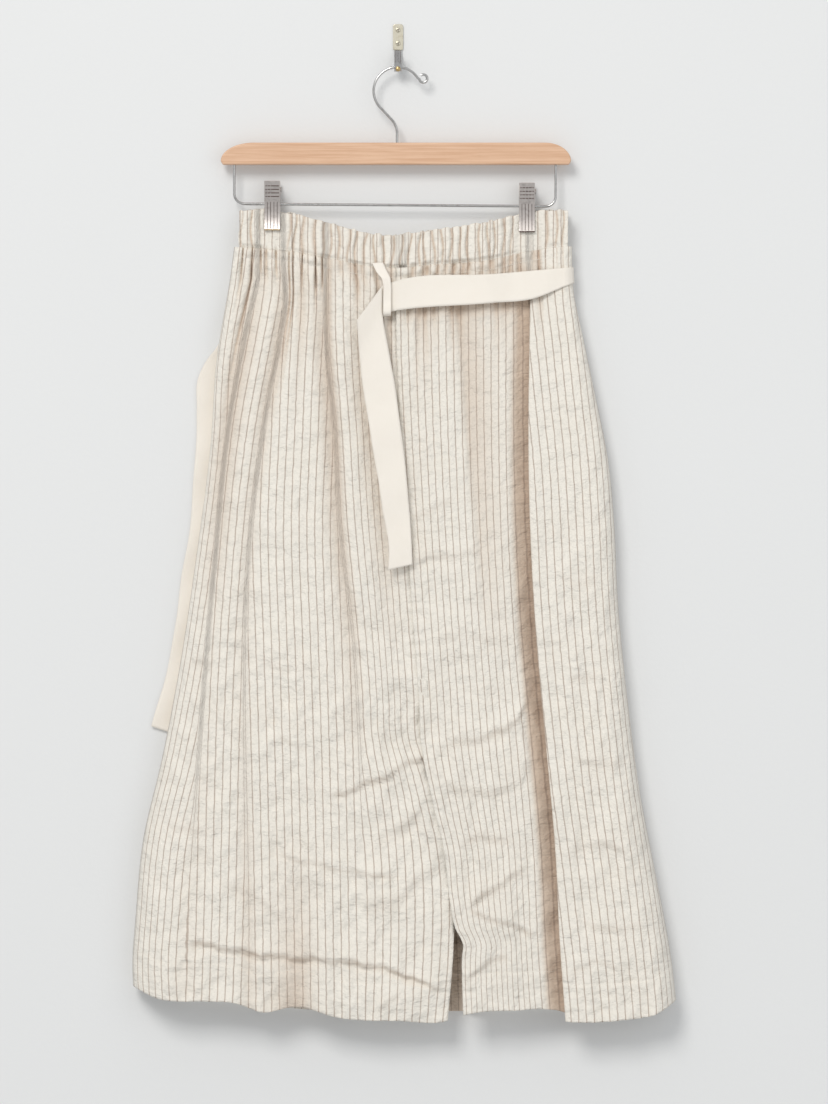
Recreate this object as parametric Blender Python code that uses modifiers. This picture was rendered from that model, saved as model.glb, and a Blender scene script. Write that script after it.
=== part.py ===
"""Striped wrap skirt, clipped to a wooden hanger that hangs on a small wall hook.

Metres, +Z up. The front faces -Y, +X is the viewer's right and the wall is the plane Y = 0.
The origin is the centre of the wall plate's back face, so a drop is a distance below that plate.
"""

import collections
import math

import bpy
import numpy as np

# ---- Driving dimensions ----------------------------------------------------------------------

SEAM_GAP = 0.0003  # between pieces that touch
HANGER_Y = -0.015  # plane of the hook wire, the bar, the drop wire and the side seams

# Cloth
PANEL_WALL = 0.0015
BAND_WALL = 0.0024  # two layers of linen with the elastic between them
TAPE_WALL = 0.0012
CLIP_PINCH = 0.0036  # half the waistband's thickness between a clip's jaws
PINCH_REACH = (0.011, 0.045)  # from a clip's middle: where its squeeze starts to fade, and where it ends
PINCH_FADE = (0.205, 0.330)  # drops between which the squeeze fades down the skirt
SEAM_RUN = 0.0012  # straight run of a panel into its side seam
EDGE_RUN = 0.005  # flat strip along the centre front edges

# The skirt's outline from the front, as (drop, x)
LEFT_EDGE = (
    (0.178, -0.159), (0.210, -0.167), (0.251, -0.173), (0.329, -0.186), (0.423, -0.193),
    (0.533, -0.207), (0.657, -0.226), (0.744, -0.243), (0.826, -0.262), (0.908, -0.270),
    (0.949, -0.273), (1.000, -0.271),
)
RIGHT_EDGE = (
    (0.178, 0.180), (0.221, 0.179), (0.257, 0.180), (0.313, 0.191), (0.375, 0.204),
    (0.436, 0.216), (0.498, 0.222), (0.580, 0.226), (0.682, 0.236), (0.785, 0.250),
    (0.867, 0.266), (0.949, 0.281), (1.000, 0.287),
)
# The centre front seam runs down to the top of the vent, where the two edges part
VENT_DROP = 0.723
CENTRE_SEAM = (
    (0.220, -0.002), (0.303, -0.002), (0.457, 0.005), (0.580, 0.014), (0.682, 0.0215), (0.723, 0.0236),
)
OVER_EDGE = CENTRE_SEAM + ((0.793, 0.037), (0.834, 0.047), (0.888, 0.053), (0.940, 0.067), (1.010, 0.067))
UNDER_EDGE = CENTRE_SEAM + (
    (0.752, 0.033), (0.793, 0.044), (0.834, 0.053), (0.888, 0.0575), (0.940, 0.0565), (1.010, 0.051),
)

# Top edge, gather line and hem, as (x, drop)
BAND_TOP = (
    (-0.170, 0.1795), (-0.155, 0.1785), (-0.143, 0.1775), (-0.129, 0.1785), (-0.100, 0.1835),
    (-0.065, 0.1935), (-0.020, 0.2040), (0.040, 0.1985), (0.096, 0.1900), (0.130, 0.1815),
    (0.152, 0.1788), (0.185, 0.1788),
)
GATHER_LINE = (
    (-0.170, 0.2170), (-0.129, 0.2190), (-0.065, 0.2300), (-0.021, 0.2380), (0.040, 0.2350),
    (0.096, 0.2300), (0.132, 0.2215), (0.174, 0.2165),
)
FRONT_HEM = (
    (-0.271, 0.976), (-0.250, 0.986), (-0.197, 0.990), (-0.170, 0.991), (-0.139, 1.001), (-0.104, 0.996),
    (-0.060, 1.007), (0.000, 1.010), (0.051, 1.0105), (0.067, 1.0045), (0.125, 0.999), (0.150, 0.998),
    (0.168, 1.003), (0.174, 1.0095), (0.180, 1.0110), (0.188, 1.0115), (0.230, 1.009), (0.262, 1.004),
    (0.287, 0.990),
)
BACK_HEM = ((-0.271, 0.976), (-0.200, 0.990), (0.060, 1.003), (0.200, 0.998), (0.287, 0.990))

# How far the front and the back stand from the side seams, and how wide they turn at each side
FRONT_DEPTH = (
    (0.178, 0.0080), (0.230, 0.0095), (0.300, 0.0130), (0.450, 0.0185), (0.700, 0.0245), (1.000, 0.0330),
)
BACK_DEPTH = ((0.178, 0.0065), (0.230, 0.0070), (0.400, 0.0085), (1.000, 0.0095))
BACK_TURN = ((0.178, 0.005), (0.230, 0.008), (0.450, 0.018), (1.000, 0.024))
LEFT_TURN = ((0.178, 0.005), (0.230, 0.009), (0.300, 0.016), (0.450, 0.040), (1.000, 0.048))
RIGHT_TURN = ((0.178, 0.005), (0.230, 0.009), (0.300, 0.012), (0.450, 0.020), (1.000, 0.026))

# Folds: the line down the middle as (drop, x), the reach to its left and right, the depth down its length
SIDE_FOLD = dict(
    line=((0.250, -0.144), (0.303, -0.156), (0.395, -0.173), (0.540, -0.188), (1.000, -0.222)),
    left=0.012, right=0.014, depth=((0.230, 0.002), (0.320, 0.005), (0.480, 0.004), (0.620, 0.0)),
)
LEFT_FOLD = dict(
    line=(
        (0.236, -0.118), (0.272, -0.116), (0.303, -0.120), (0.385, -0.135),
        (0.460, -0.146), (1.000, -0.152),
    ),
    left=0.010, right=0.008,
    depth=((0.230, 0.002), (0.290, 0.005), (0.420, 0.004), (0.600, 0.002), (1.000, 0.003)),
)
MIDDLE_FOLD = dict(
    line=(
        (0.230, -0.075), (0.323, -0.073), (0.405, -0.065), (0.498, -0.060),
        (0.610, -0.047), (1.000, -0.034),
    ),
    left=0.012, right=0.006,
    depth=((0.230, 0.002), (0.330, 0.005), (0.520, 0.006), (0.640, 0.003), (0.780, 0.0)),
)
HEM_FOLD = dict(
    line=((0.800, -0.100), (1.000, -0.104)),
    left=0.022, right=0.016, depth=((0.800, 0.0), (0.940, 0.004), (1.010, 0.009)),
)
SOFT_FOLD = dict(
    line=((0.250, 0.060), (0.313, 0.066), (0.415, 0.074), (0.540, 0.086), (1.000, 0.110)),
    left=0.010, right=0.022, depth=((0.230, 0.002), (0.330, 0.004), (0.500, 0.003), (0.640, 0.0)),
)
# The deepest fold: the right of the skirt stands in front of it and rolls over its edge
RIGHT_FOLD = dict(
    line=((0.230, 0.130), (0.303, 0.131), (0.400, 0.131), (0.500, 0.133), (0.610, 0.139), (0.733, 0.150),
          (0.836, 0.159), (0.940, 0.164), (1.010, 0.169)),
    left=0.015, right=0.0035,
    depth=((0.225, 0.002), (0.270, 0.007), (0.350, 0.010), (0.500, 0.013), (0.700, 0.014), (0.900, 0.012)),
)
LEFT_PANEL_FOLDS = (SIDE_FOLD, LEFT_FOLD, MIDDLE_FOLD, HEM_FOLD)
RIGHT_PANEL_FOLDS = (SOFT_FOLD, RIGHT_FOLD)
BACK_FOLDS = (
    dict(line=((0.230, -0.060), (1.000, -0.090)), left=0.014, right=0.010,
         depth=((0.230, 0.001), (0.400, 0.003), (1.000, 0.0035))),
    dict(line=((0.230, 0.050), (1.000, 0.085)), left=0.010, right=0.016,
         depth=((0.230, 0.001), (0.400, 0.003), (1.000, 0.0035))),
)
FOLD_COLUMNS = (-0.026, -0.018, -0.012, -0.007, -0.003, 0.0, 0.0025, 0.006, 0.012)  # beside the deepest fold

# Gathers of the elastic waistband
BAND_PLEATS = 26
PLEAT_DEPTH = 0.0012
VENT_LAP = 0.0045  # how far the under edge lies behind the over edge
VENT_LAP_REACH = 0.055
VENT_EASE = 0.060  # height over which the under edge sinks back above the vent
BRIDGE = 0.0030  # how far the tape stands off the cloth that it crosses

# Grid of each sheet: rows as shares of the way down, and columns across
PANEL_ROWS = (
    0.0, 0.006, 0.045, 0.085, 0.13, 0.19, 0.26, 0.33, 0.41, 0.49, 0.57, 0.64, 0.70, 0.77, 0.84, 0.91, 1.0,
)
BACK_ROWS = (0.0, 0.006, 0.04, 0.10, 0.18, 0.28, 0.40, 0.52, 0.64, 0.76, 0.88, 1.0)
BAND_ROWS = (0.0, 0.45, 0.88, 1.0)
BAND_LEVEL = 0.200  # drop at which the waistband's columns are spread
TOP_OF_PANELS = 0.230
BOTTOM_OF_PANELS = 1.000
TURN_STEPS = 5
LEFT_COLUMNS = 20
RIGHT_COLUMNS = 8
BACK_COLUMNS = 20

# Ties, as (x, drop)
TIE_WIDTH = 0.030
TIE_SEAM_DROP = 0.246
TIE_TOP = ((-0.0164, 0.2575), (-0.0051, 0.2534), (0.0964, 0.2452), (0.1785, 0.2380))
TIE_BOTTOM = ((-0.0421, 0.2924), (-0.0133, 0.2852), (0.0964, 0.2750), (0.1385, 0.2705), (0.1785, 0.2545))
TIE_FOLD = ((-0.0421, 0.2924), (-0.0164, 0.2575))  # the slanting fold where it turns down
TIE_STATIONS = 14
TIE_TURN_ANGLES = (75, 60, 45, 30, 15, 4)  # places round the turn at the side, in degrees
TIE_SEWN = (15, 75)  # the turn's angles between which it comes off the cloth
TIE_LIFT = 0.0025  # how far its lower edge hangs off the gathers
TIE_LIFT_SHARES = (0.0, 0.3, 1.0)
TAPE_ACROSS = (0.0, 0.5, 1.0)  # points across a tape's width
HANGING_TIE = (
    ((-0.0421, 0.2924), (-0.0164, 0.2586)), ((-0.0408, 0.3120), (-0.0156, 0.2890)),
    ((-0.0390, 0.3330), (-0.0098, 0.3230)), ((-0.0369, 0.3540), (-0.0041, 0.3540)),
    ((-0.0308, 0.3930), (0.0012, 0.3920)), ((-0.0246, 0.4320), (0.0062, 0.4300)),
    ((-0.0200, 0.4580), (0.0090, 0.4570)), ((-0.0164, 0.4830), (0.0113, 0.4830)),
    ((-0.0092, 0.5325), (0.0144, 0.5300)), ((-0.0100, 0.5490), (0.0150, 0.5430)),
)
HANGING_TIE_OUT = (0.0062, 0.0064, 0.0066, 0.0066, 0.0064, 0.0062, 0.0060, 0.0060, 0.0062, 0.0068)
LOOP = (
    ((-0.0267, 0.2339), (-0.0154, 0.2335)), ((-0.0215, 0.2440), (-0.0112, 0.2430)),
    ((-0.0165, 0.2505), (-0.0078, 0.2500)), ((-0.0151, 0.2560), (-0.0072, 0.2560)),
    ((-0.0151, 0.2720), (-0.0072, 0.2720)), ((-0.0151, 0.2878), (-0.0072, 0.2872)),
    ((-0.0151, 0.2892), (-0.0072, 0.2886)),
)
LOOP_OUT = (0.0029, 0.0040, 0.0064, 0.0070, 0.0074, 0.0074, 0.0040)
LEFT_TIE = (
    (-0.1700, 0.2440), (-0.1710, 0.2600), (-0.1730, 0.2800), (-0.1780, 0.3000), (-0.1860, 0.3180),
    (-0.1980, 0.3340), (-0.2062, 0.3520), (-0.2075, 0.3820), (-0.2093, 0.4500), (-0.2155, 0.5060),
    (-0.2216, 0.5470), (-0.2260, 0.5880), (-0.2339, 0.6250), (-0.2421, 0.6700), (-0.2534, 0.7100),
)
LEFT_TIE_Y = -0.0046
LEFT_TIE_SEAM = (0.250, 0.300)  # drops between which it leaves the side seam for the wall
LEFT_TIE_SLANT = 0.010  # how far its cut end slants
LEFT_TIE_END = (0.60, 0.71)

# Hanger and wall hook
BAR_LENGTH = 0.360
BAR_HEIGHT = 0.0226
BAR_DEPTH = 0.012
BAR_TOP = 0.1098
BAR_SHOULDERS = (0.034, 0.027)  # length of the curve at its left and right ends
BAR_TIP = 0.002
BAR_EASE = 0.0012
BAR_X = -0.0022
HOOK_WIRE = 0.0014
DROP_WIRE = 0.0016
HOOK_RADIUS = 0.0246
HOOK_CENTRE = (-0.0005, -0.0564)
HOOK_NECK = 223  # where the crown starts on its circle, in degrees
HOOK_TIP = 33  # and where it ends, having gone over the top
NECK_BEND = 0.008
EYE_CENTRE = (0.0259, -0.0436)
EYE_RADIUS = 0.0041
EYE_TURN = (190, 490)
SHANK_X = -0.001
DROP_LEFT = -0.1683
DROP_RIGHT = 0.1621
DROP_CORNER = 0.0103
DROP_RUN = (0.1725, 0.1750)  # drop of the bottom run at its left and right ends
CLIP_WIDTH = 0.0162
CLIP_SHEET = 0.0012
CLIPS = (("left", -0.1292), ("right", 0.1324))
# One jaw seen from the side, from its lip up to its handle: (away from the grip, height from the roll)
JAW = (
    (0.0007, -0.0270), (0.0, -0.0255), (0.0, 0.0020), (0.0012, 0.0060), (0.0042, 0.0235),
)
ROLL_OUTER = 0.0036
ROLL_INNER = 0.0021
PLATE_WIDTH = 0.0105
PLATE_HEIGHT = 0.0267
PLATE_SHEET = 0.0020
STRAP_WIDTH = 0.0080
STRAP_SHEET = 0.0022
STRAP_NECK = ((0.0, 0.0), (0.0, -0.003), (-0.0049, -0.010))  # its way down from the plate, as (forward, up)
STRAP_FRONT = ((-0.0052, 0.006), (-0.0060, 0.018))  # its way up in front of the hanger's wire
STRAP_TURN = (-20, -160)
STRAP_SAG = 0.0010  # room for the crown's curve across the strap's width
SCREW_RADIUS = 0.0025
SCREW_HEAD = 0.0014
SCREW_EASE = 0.0004
SCREW_HEIGHTS = (("upper", 0.0075), ("lower", -0.0062))

COLOURS = {
    "linen": ((0.83, 0.79, 0.70), 0.90, 0.0),
    "tape": ((0.85, 0.81, 0.73), 0.85, 0.0),
    "wood": ((0.75, 0.47, 0.28), 0.55, 0.0),
    "steel": ((0.55, 0.53, 0.51), 0.28, 1.0),
    "brass": ((0.80, 0.74, 0.58), 0.35, 1.0),
}


# ---- Scene helpers ---------------------------------------------------------------------------

def clear_scene():
    for obj in list(bpy.data.objects):
        bpy.data.objects.remove(obj, do_unlink=True)


def finish_of(node, kind):
    """The node's own Principled material, in one of the named finishes."""
    colour, roughness, metallic = COLOURS[kind]
    material = bpy.data.materials.new(node)
    material.use_nodes = True
    shader = material.node_tree.nodes["Principled BSDF"]
    shader.inputs["Base Color"].default_value = (*colour, 1.0)
    shader.inputs["Roughness"].default_value = roughness
    shader.inputs["Metallic"].default_value = metallic
    material.diffuse_color = (*colour, 1.0)
    return material


def add(collection, node, data, kind):
    obj = bpy.data.objects.new(node, data)
    data.materials.append(finish_of(node, kind))
    collection.objects.link(obj)
    return obj


# ---- Curves and sections ---------------------------------------------------------------------

def along(points, at):
    """The smooth curve through (place, value) points, read at each place and level past its ends."""
    places, values = np.array(points, dtype=float).T
    slopes = np.gradient(values, places)
    at = np.clip(at, places[0], places[-1])
    k = np.clip(np.searchsorted(places, at, side="right") - 1, 0, len(places) - 2)
    span = places[k + 1] - places[k]
    t = (at - places[k]) / span
    return (
        values[k] * (1 + 2 * t) * (1 - t) ** 2
        + values[k + 1] * t * t * (3 - 2 * t)
        + span * slopes[k] * t * (1 - t) ** 2
        - span * slopes[k + 1] * t * t * (1 - t)
    )


def ease(low, high, at):
    """0 below low and 1 above high, with a smooth change between them."""
    t = np.clip((at - low) / (high - low), 0.0, 1.0)
    return t * t * (3 - 2 * t)


def pinch(x, drop):
    """1 where a clip squeezes the cloth, fading along the waistband and down the skirt."""
    down = 1 - ease(*PINCH_FADE, drop)
    squeeze = 0.0
    for _, clip_x in CLIPS:
        squeeze = np.maximum(squeeze, 1 - ease(*PINCH_REACH, np.abs(x - clip_x)))
    return squeeze * down


def fold_depth(folds, x, drop):
    """How deep the folds press the cloth in at a place."""
    total = 0.0
    for fold in folds:
        offset = x - along(fold["line"], drop)
        reach = np.where(offset < 0, fold["left"], fold["right"])
        total = total + along(fold["depth"], drop) * np.exp(-((offset / reach) ** 2))
    return total


Column = collections.namedtuple("Column", "start end share offset depth_share")


def line(points, offset=0.0):
    """A named line down the skirt, as a function of drop."""
    return lambda drop: along(points, drop) + offset


def turn_in(edge, turn, inward):
    """Columns from a side seam round onto the flat of the front or back."""
    def flat_start(drop):
        return along(edge, drop) + inward * along(turn, drop)

    seam = line(edge)
    columns = [Column(seam, seam, 0.0, 0.0, 0.0)]
    for angle in np.linspace(0.0, math.pi / 2, TURN_STEPS + 1):
        columns.append(Column(seam, flat_start, 1 - math.cos(angle), 0.0, math.sin(angle)))
    return columns, flat_start


def flats(start, end, count):
    """Evenly spread columns past start, up to and with end."""
    return [Column(start, end, (k + 1) / count, 0.0, 1.0) for k in range(count)]


def column_x(columns, drop):
    """x of every grid point, with one column of drops for each column of the sheet."""
    across = []
    for k, column in enumerate(columns):
        start = column.start(drop[:, k])
        end = column.end(drop[:, k])
        across.append(start + (end - start) * column.share + column.offset)
    return np.stack(across, axis=1)


def grid_drops(columns, top, hem, shares):
    """Drop of every grid point: each column runs from the top line down to the hem line."""
    first = column_x(columns, np.full((1, len(columns)), TOP_OF_PANELS))[0]
    last = column_x(columns, np.full((1, len(columns)), BOTTOM_OF_PANELS))[0]
    upper = along(top, first)
    lower = along(hem, last)
    return upper + (lower - upper) * np.array(shares)[:, None]


def depth_of(columns, depths, folds, x, drop):
    """How far each grid point stands from the plane of the side seams."""
    share = np.array([column.depth_share for column in columns])
    flat = along(depths, drop)
    flat = flat - (flat - CLIP_PINCH) * pinch(x, drop)
    return SEAM_RUN + (flat - SEAM_RUN) * share - fold_depth(folds, x, drop) * share


# ---- Cloth pieces ----------------------------------------------------------------------------

def lofted(collection, node, x, y, drop, wall, kind, toward_wall=False):
    """A sheet lofted through rows of points, thickened inwards. The back's faces are turned to the wall."""
    points = np.stack([x, y, -drop], axis=-1)
    if toward_wall:
        points = points[:, ::-1]
    rows, columns, _ = points.shape
    faces = [
        (r * columns + c, (r + 1) * columns + c, (r + 1) * columns + c + 1, r * columns + c + 1)
        for r in range(rows - 1)
        for c in range(columns - 1)
    ]
    mesh = bpy.data.meshes.new(node)
    mesh.from_pydata(points.reshape(-1, 3).tolist(), [], faces)
    mesh.shade_smooth()
    obj = add(collection, node, mesh, kind)
    solidify = obj.modifiers.new("Wall", "SOLIDIFY")
    solidify.thickness = wall
    solidify.offset = -1.0
    return obj


def hang_from_band(x, y, drop):
    """Lets a panel's first row meet the waistband upright, just below the gather line."""
    x[0] = x[1]
    y[0] = y[1]
    drop[0] = along(GATHER_LINE, x[0]) + SEAM_GAP / 2


def front_panel_left(collection):
    """The under panel: from the left side seam to the centre front seam and the vent's under edge."""
    edge = line(UNDER_EDGE, -SEAM_GAP / 2)
    beside_edge = line(UNDER_EDGE, -SEAM_GAP / 2 - EDGE_RUN)
    turn, flat_start = turn_in(LEFT_EDGE, LEFT_TURN, 1)
    columns = turn + flats(flat_start, beside_edge, LEFT_COLUMNS) + [Column(edge, edge, 0.0, 0.0, 1.0)]
    drop = grid_drops(columns, GATHER_LINE, FRONT_HEM, PANEL_ROWS)
    x = column_x(columns, drop)
    y = HANGER_Y - depth_of(columns, FRONT_DEPTH, LEFT_PANEL_FOLDS, x, drop)
    below_vent = ease(VENT_DROP - VENT_EASE, VENT_DROP, drop)
    y += VENT_LAP * below_vent * np.exp(-(((edge(drop) - x) / VENT_LAP_REACH) ** 2))
    y[:, -2] = y[:, -1]
    y[:, 0] = HANGER_Y - SEAM_GAP / 2
    hang_from_band(x, y, drop)
    lofted(collection, "front_panel_left", x, y, drop, PANEL_WALL, "linen")


def front_panel_right(collection):
    """The over panel: from the centre front seam and the vent's over edge to the right side seam."""
    edge = line(OVER_EDGE, SEAM_GAP / 2)
    beside_edge = line(OVER_EDGE, SEAM_GAP / 2 + EDGE_RUN)
    fold = line(RIGHT_FOLD["line"])
    turn, flat_start = turn_in(RIGHT_EDGE, RIGHT_TURN, -1)
    columns = [Column(edge, edge, 0.0, 0.0, 1.0), Column(beside_edge, beside_edge, 0.0, 0.0, 1.0)]
    columns += flats(beside_edge, line(RIGHT_FOLD["line"], FOLD_COLUMNS[0]), RIGHT_COLUMNS)
    columns += [Column(fold, fold, 0.0, offset, 1.0) for offset in FOLD_COLUMNS[1:]]
    columns += flats(line(RIGHT_FOLD["line"], FOLD_COLUMNS[-1]), flat_start, RIGHT_COLUMNS - 2)[:-1]
    columns += turn[::-1]
    drop = grid_drops(columns, GATHER_LINE, FRONT_HEM, PANEL_ROWS)
    x = column_x(columns, drop)
    y = HANGER_Y - depth_of(columns, FRONT_DEPTH, RIGHT_PANEL_FOLDS, x, drop)
    y[:, 1] = y[:, 0]
    y[:, -1] = HANGER_Y - SEAM_GAP / 2
    hang_from_band(x, y, drop)
    lofted(collection, "front_panel_right", x, y, drop, PANEL_WALL, "linen")


def back_panel(collection):
    left_turn, left_flat = turn_in(LEFT_EDGE, BACK_TURN, 1)
    right_turn, right_flat = turn_in(RIGHT_EDGE, BACK_TURN, -1)
    columns = left_turn + flats(left_flat, right_flat, BACK_COLUMNS)[:-1] + right_turn[::-1]
    drop = grid_drops(columns, GATHER_LINE, BACK_HEM, BACK_ROWS)
    x = column_x(columns, drop)
    y = HANGER_Y + depth_of(columns, BACK_DEPTH, BACK_FOLDS, x, drop)
    y[:, 0] = y[:, -1] = HANGER_Y + SEAM_GAP / 2
    hang_from_band(x, y, drop)
    lofted(collection, "back_panel", x, y, drop, PANEL_WALL, "linen", toward_wall=True)


def waistband(collection, node, depths, face):
    """Half of the gathered waistband: face is -1 in front and +1 at the back."""
    left_turn, left_flat = turn_in(LEFT_EDGE, LEFT_TURN, 1)
    right_turn, right_flat = turn_in(RIGHT_EDGE, RIGHT_TURN, -1)
    gathers = flats(left_flat, right_flat, 4 * BAND_PLEATS)[:-1]
    columns = left_turn + gathers + right_turn[::-1]
    first = column_x(columns, np.full((1, len(columns)), BAND_LEVEL))[0]
    upper = along(BAND_TOP, first)
    lower = along(GATHER_LINE, first)
    drop = upper + (lower - upper) * np.array(BAND_ROWS)[:, None]
    x = column_x(columns, drop)
    wave = np.zeros(len(columns))
    wave[len(left_turn):-len(right_turn)] = np.cos(math.pi / 2 * np.arange(1, len(gathers) + 1))
    depth = depth_of(columns, depths, (), x, drop)
    y = HANGER_Y + face * (depth + PLEAT_DEPTH * wave * (1 - pinch(x, drop)))
    y[:, 0] = y[:, -1] = HANGER_Y + face * SEAM_GAP / 2
    x[-1] = x[-2]
    y[-1] = y[-2]
    drop[-1] = along(GATHER_LINE, x[-1]) - SEAM_GAP / 2
    lofted(collection, node, x, y, drop, BAND_WALL, "linen", toward_wall=face > 0)


# ---- Ties ------------------------------------------------------------------------------------

def front_y(x, drop):
    """The face that the front's folds lie behind."""
    left = (x - along(LEFT_EDGE, drop)) / along(LEFT_TURN, drop)
    right = (along(RIGHT_EDGE, drop) - x) / along(RIGHT_TURN, drop)
    share = np.sin(np.arccos(1 - np.clip(np.minimum(left, right), 0.0, 1.0)))
    flat = along(FRONT_DEPTH, drop)
    flat = flat - (flat - CLIP_PINCH) * pinch(x, drop)
    return HANGER_Y - SEAM_RUN - (flat - SEAM_RUN) * share


def tie_across(collection):
    """The right tie from its side seam, round the turn and across the gathers to where it folds down."""
    side_x = along(RIGHT_EDGE, TIE_SEAM_DROP)
    turn = along(RIGHT_TURN, TIE_SEAM_DROP)
    flat_x = side_x - turn
    share = np.linspace(0.0, 1.0, TIE_STATIONS)
    x_top = TIE_FOLD[1][0] + (flat_x - TIE_FOLD[1][0]) * share
    x_bottom = TIE_FOLD[0][0] + (flat_x - TIE_FOLD[0][0]) * share
    x = np.stack([x_top, (x_top + x_bottom) / 2, x_bottom])
    drop = np.stack([along(TIE_TOP, x_top), np.zeros(TIE_STATIONS), along(TIE_BOTTOM, x_bottom)])
    drop[1] = (drop[0] + drop[2]) / 2
    out = BRIDGE + TAPE_WALL
    lift = np.array(TIE_LIFT_SHARES)[:, None] * TIE_LIFT * np.sin(math.pi * share) ** 2
    y = front_y(x, drop) - out - lift
    for angle in np.radians(TIE_TURN_ANGLES):
        off_cloth = ease(*np.radians(TIE_SEWN), angle)
        reach = SEAM_GAP + TAPE_WALL + (BRIDGE - SEAM_GAP) * off_cloth
        near_x = flat_x + turn * math.cos(angle)
        ends = np.array([along(TIE_TOP, near_x), along(TIE_BOTTOM, near_x)])
        turned_drop = ends[0] + (ends[1] - ends[0]) * np.array(TAPE_ACROSS)
        row_turn = along(RIGHT_TURN, turned_drop)
        row_flat = along(RIGHT_EDGE, turned_drop) - row_turn
        depth = HANGER_Y - SEAM_RUN - front_y(row_flat, turned_drop)
        x = np.column_stack([x, row_flat + (row_turn + reach) * math.cos(angle)])
        y = np.column_stack([y, HANGER_Y - SEAM_RUN - (depth + reach) * math.sin(angle)])
        drop = np.column_stack([drop, turned_drop])
    lofted(collection, "tie_right_across", x, y, drop, TAPE_WALL, "tape")


def strip(collection, node, rows, out):
    """A tape through rows of (left place, right place), each an (x, drop), standing off the front."""
    left = np.array([row[0] for row in rows])
    right = np.array([row[1] for row in rows])
    share = np.array(TAPE_ACROSS)
    x = left[:, :1] + (right[:, :1] - left[:, :1]) * share
    drop = left[:, 1:] + (right[:, 1:] - left[:, 1:]) * share
    y = front_y(x, drop) - np.array(out)[:, None]
    lofted(collection, node, x, y, drop, TAPE_WALL, "tape")


def tie_left(collection):
    """The left tie, which hangs between the skirt's left edge and the wall."""
    outer, drop = np.array(LEFT_TIE).T[:, :, None]
    share = np.array(TAPE_ACROSS)
    x = outer + TIE_WIDTH * share
    drop = drop + LEFT_TIE_SLANT * share * ease(*LEFT_TIE_END, drop)
    near_seam = 1 - ease(*LEFT_TIE_SEAM, drop)
    y = LEFT_TIE_Y - (LEFT_TIE_Y - HANGER_Y - along(BACK_DEPTH, drop) - SEAM_GAP) * near_seam
    lofted(collection, "tie_left", x, y, drop, TAPE_WALL, "tape")


# ---- Hanger and wall hook --------------------------------------------------------------------

def wire(collection, node, path, radius, kind):
    curve = bpy.data.curves.new(node, "CURVE")
    curve.dimensions = "3D"
    curve.bevel_depth = radius
    curve.bevel_resolution = 2
    curve.use_fill_caps = True
    spline = curve.splines.new("POLY")
    spline.points.add(len(path) - 1)
    for point, place in zip(spline.points, path):
        point.co = (*place, 1.0)
    return add(collection, node, curve, kind)


def plate_of(collection, node, outline, thickness, kind, bevel=0.0):
    """A flat outline, extruded evenly to both sides of its own plane, with its edges eased."""
    curve = bpy.data.curves.new(node, "CURVE")
    curve.dimensions = "2D"
    curve.fill_mode = "BOTH"
    curve.extrude = thickness / 2
    spline = curve.splines.new("POLY")
    spline.points.add(len(outline) - 1)
    for point, place in zip(spline.points, outline):
        point.co = (*place, 0.0, 1.0)
    spline.use_cyclic_u = True
    obj = add(collection, node, curve, kind)
    weld = obj.modifiers.new("Weld", "WELD")
    weld.merge_threshold = 0.00002
    if bevel:
        edges = obj.modifiers.new("Eased edges", "BEVEL")
        edges.width = bevel
        edges.segments = 2
        edges.limit_method = "ANGLE"
        edges.angle_limit = math.radians(50)
    return obj


def band_outline(path, thickness):
    """The closed outline of a bent strip of sheet, from the line down its middle."""
    path = np.array(path)
    ahead = np.gradient(path, axis=0)
    ahead /= np.linalg.norm(ahead, axis=1)[:, None]
    side = np.column_stack([-ahead[:, 1], ahead[:, 0]]) * thickness / 2
    return np.vstack([path + side, (path - side)[::-1]]).tolist()


def arc(centre, radius, start, end, steps):
    """Points in a plane along an arc, from one angle to another in degrees."""
    angles = np.radians(np.linspace(start, end, steps + 1))
    return [(centre[0] + radius * math.cos(a), centre[1] + radius * math.sin(a)) for a in angles]


def upright(points):
    """Places points of a front view in the hanger's plane."""
    return [(x, HANGER_Y, z) for x, z in points]


def hanger_bar(collection):
    """Wooden bar, straight below and rounded down to a thin tip at each end."""
    half = BAR_LENGTH / 2
    rise = BAR_HEIGHT - BAR_TIP
    outline = [(-half, 0.0)]
    outline += [(x - half + BAR_SHOULDERS[0], z + BAR_TIP) for x, z in (
        (-BAR_SHOULDERS[0] * math.cos(a), rise * math.sin(a)) for a in np.linspace(0, math.pi / 2, 7))]
    outline += [(x + half - BAR_SHOULDERS[1], z + BAR_TIP) for x, z in (
        (BAR_SHOULDERS[1] * math.cos(a), rise * math.sin(a)) for a in np.linspace(math.pi / 2, 0, 7))]
    outline += [(half, 0.0)]
    obj = plate_of(collection, "hanger_bar", outline, BAR_DEPTH, "wood", bevel=BAR_EASE)
    obj.rotation_euler.x = math.pi / 2
    obj.location = (BAR_X, HANGER_Y, -BAR_TOP - BAR_HEIGHT)


def hanger_hook(collection):
    """Wire hook with an eye at its tip: shank, sloping neck, round crown and eye."""
    crown = arc(HOOK_CENTRE, HOOK_RADIUS, HOOK_NECK, HOOK_TIP, 22)
    start_x, start_z = crown[0]
    neck = math.radians(HOOK_NECK)
    corner = np.array([SHANK_X, start_z - (SHANK_X - start_x) / math.tan(neck)])
    below = corner - np.array([0.0, NECK_BEND])
    above = corner + NECK_BEND * np.array([math.sin(neck), -math.cos(neck)])
    bend = [below * (1 - t) ** 2 + corner * 2 * t * (1 - t) + above * t * t for t in np.linspace(0.0, 1.0, 5)]
    path = [(SHANK_X, -BAR_TOP + SEAM_GAP)] + bend + crown + arc(EYE_CENTRE, EYE_RADIUS, *EYE_TURN, 12)
    wire(collection, "hanger_hook", upright(path), HOOK_WIRE, "steel")


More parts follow.
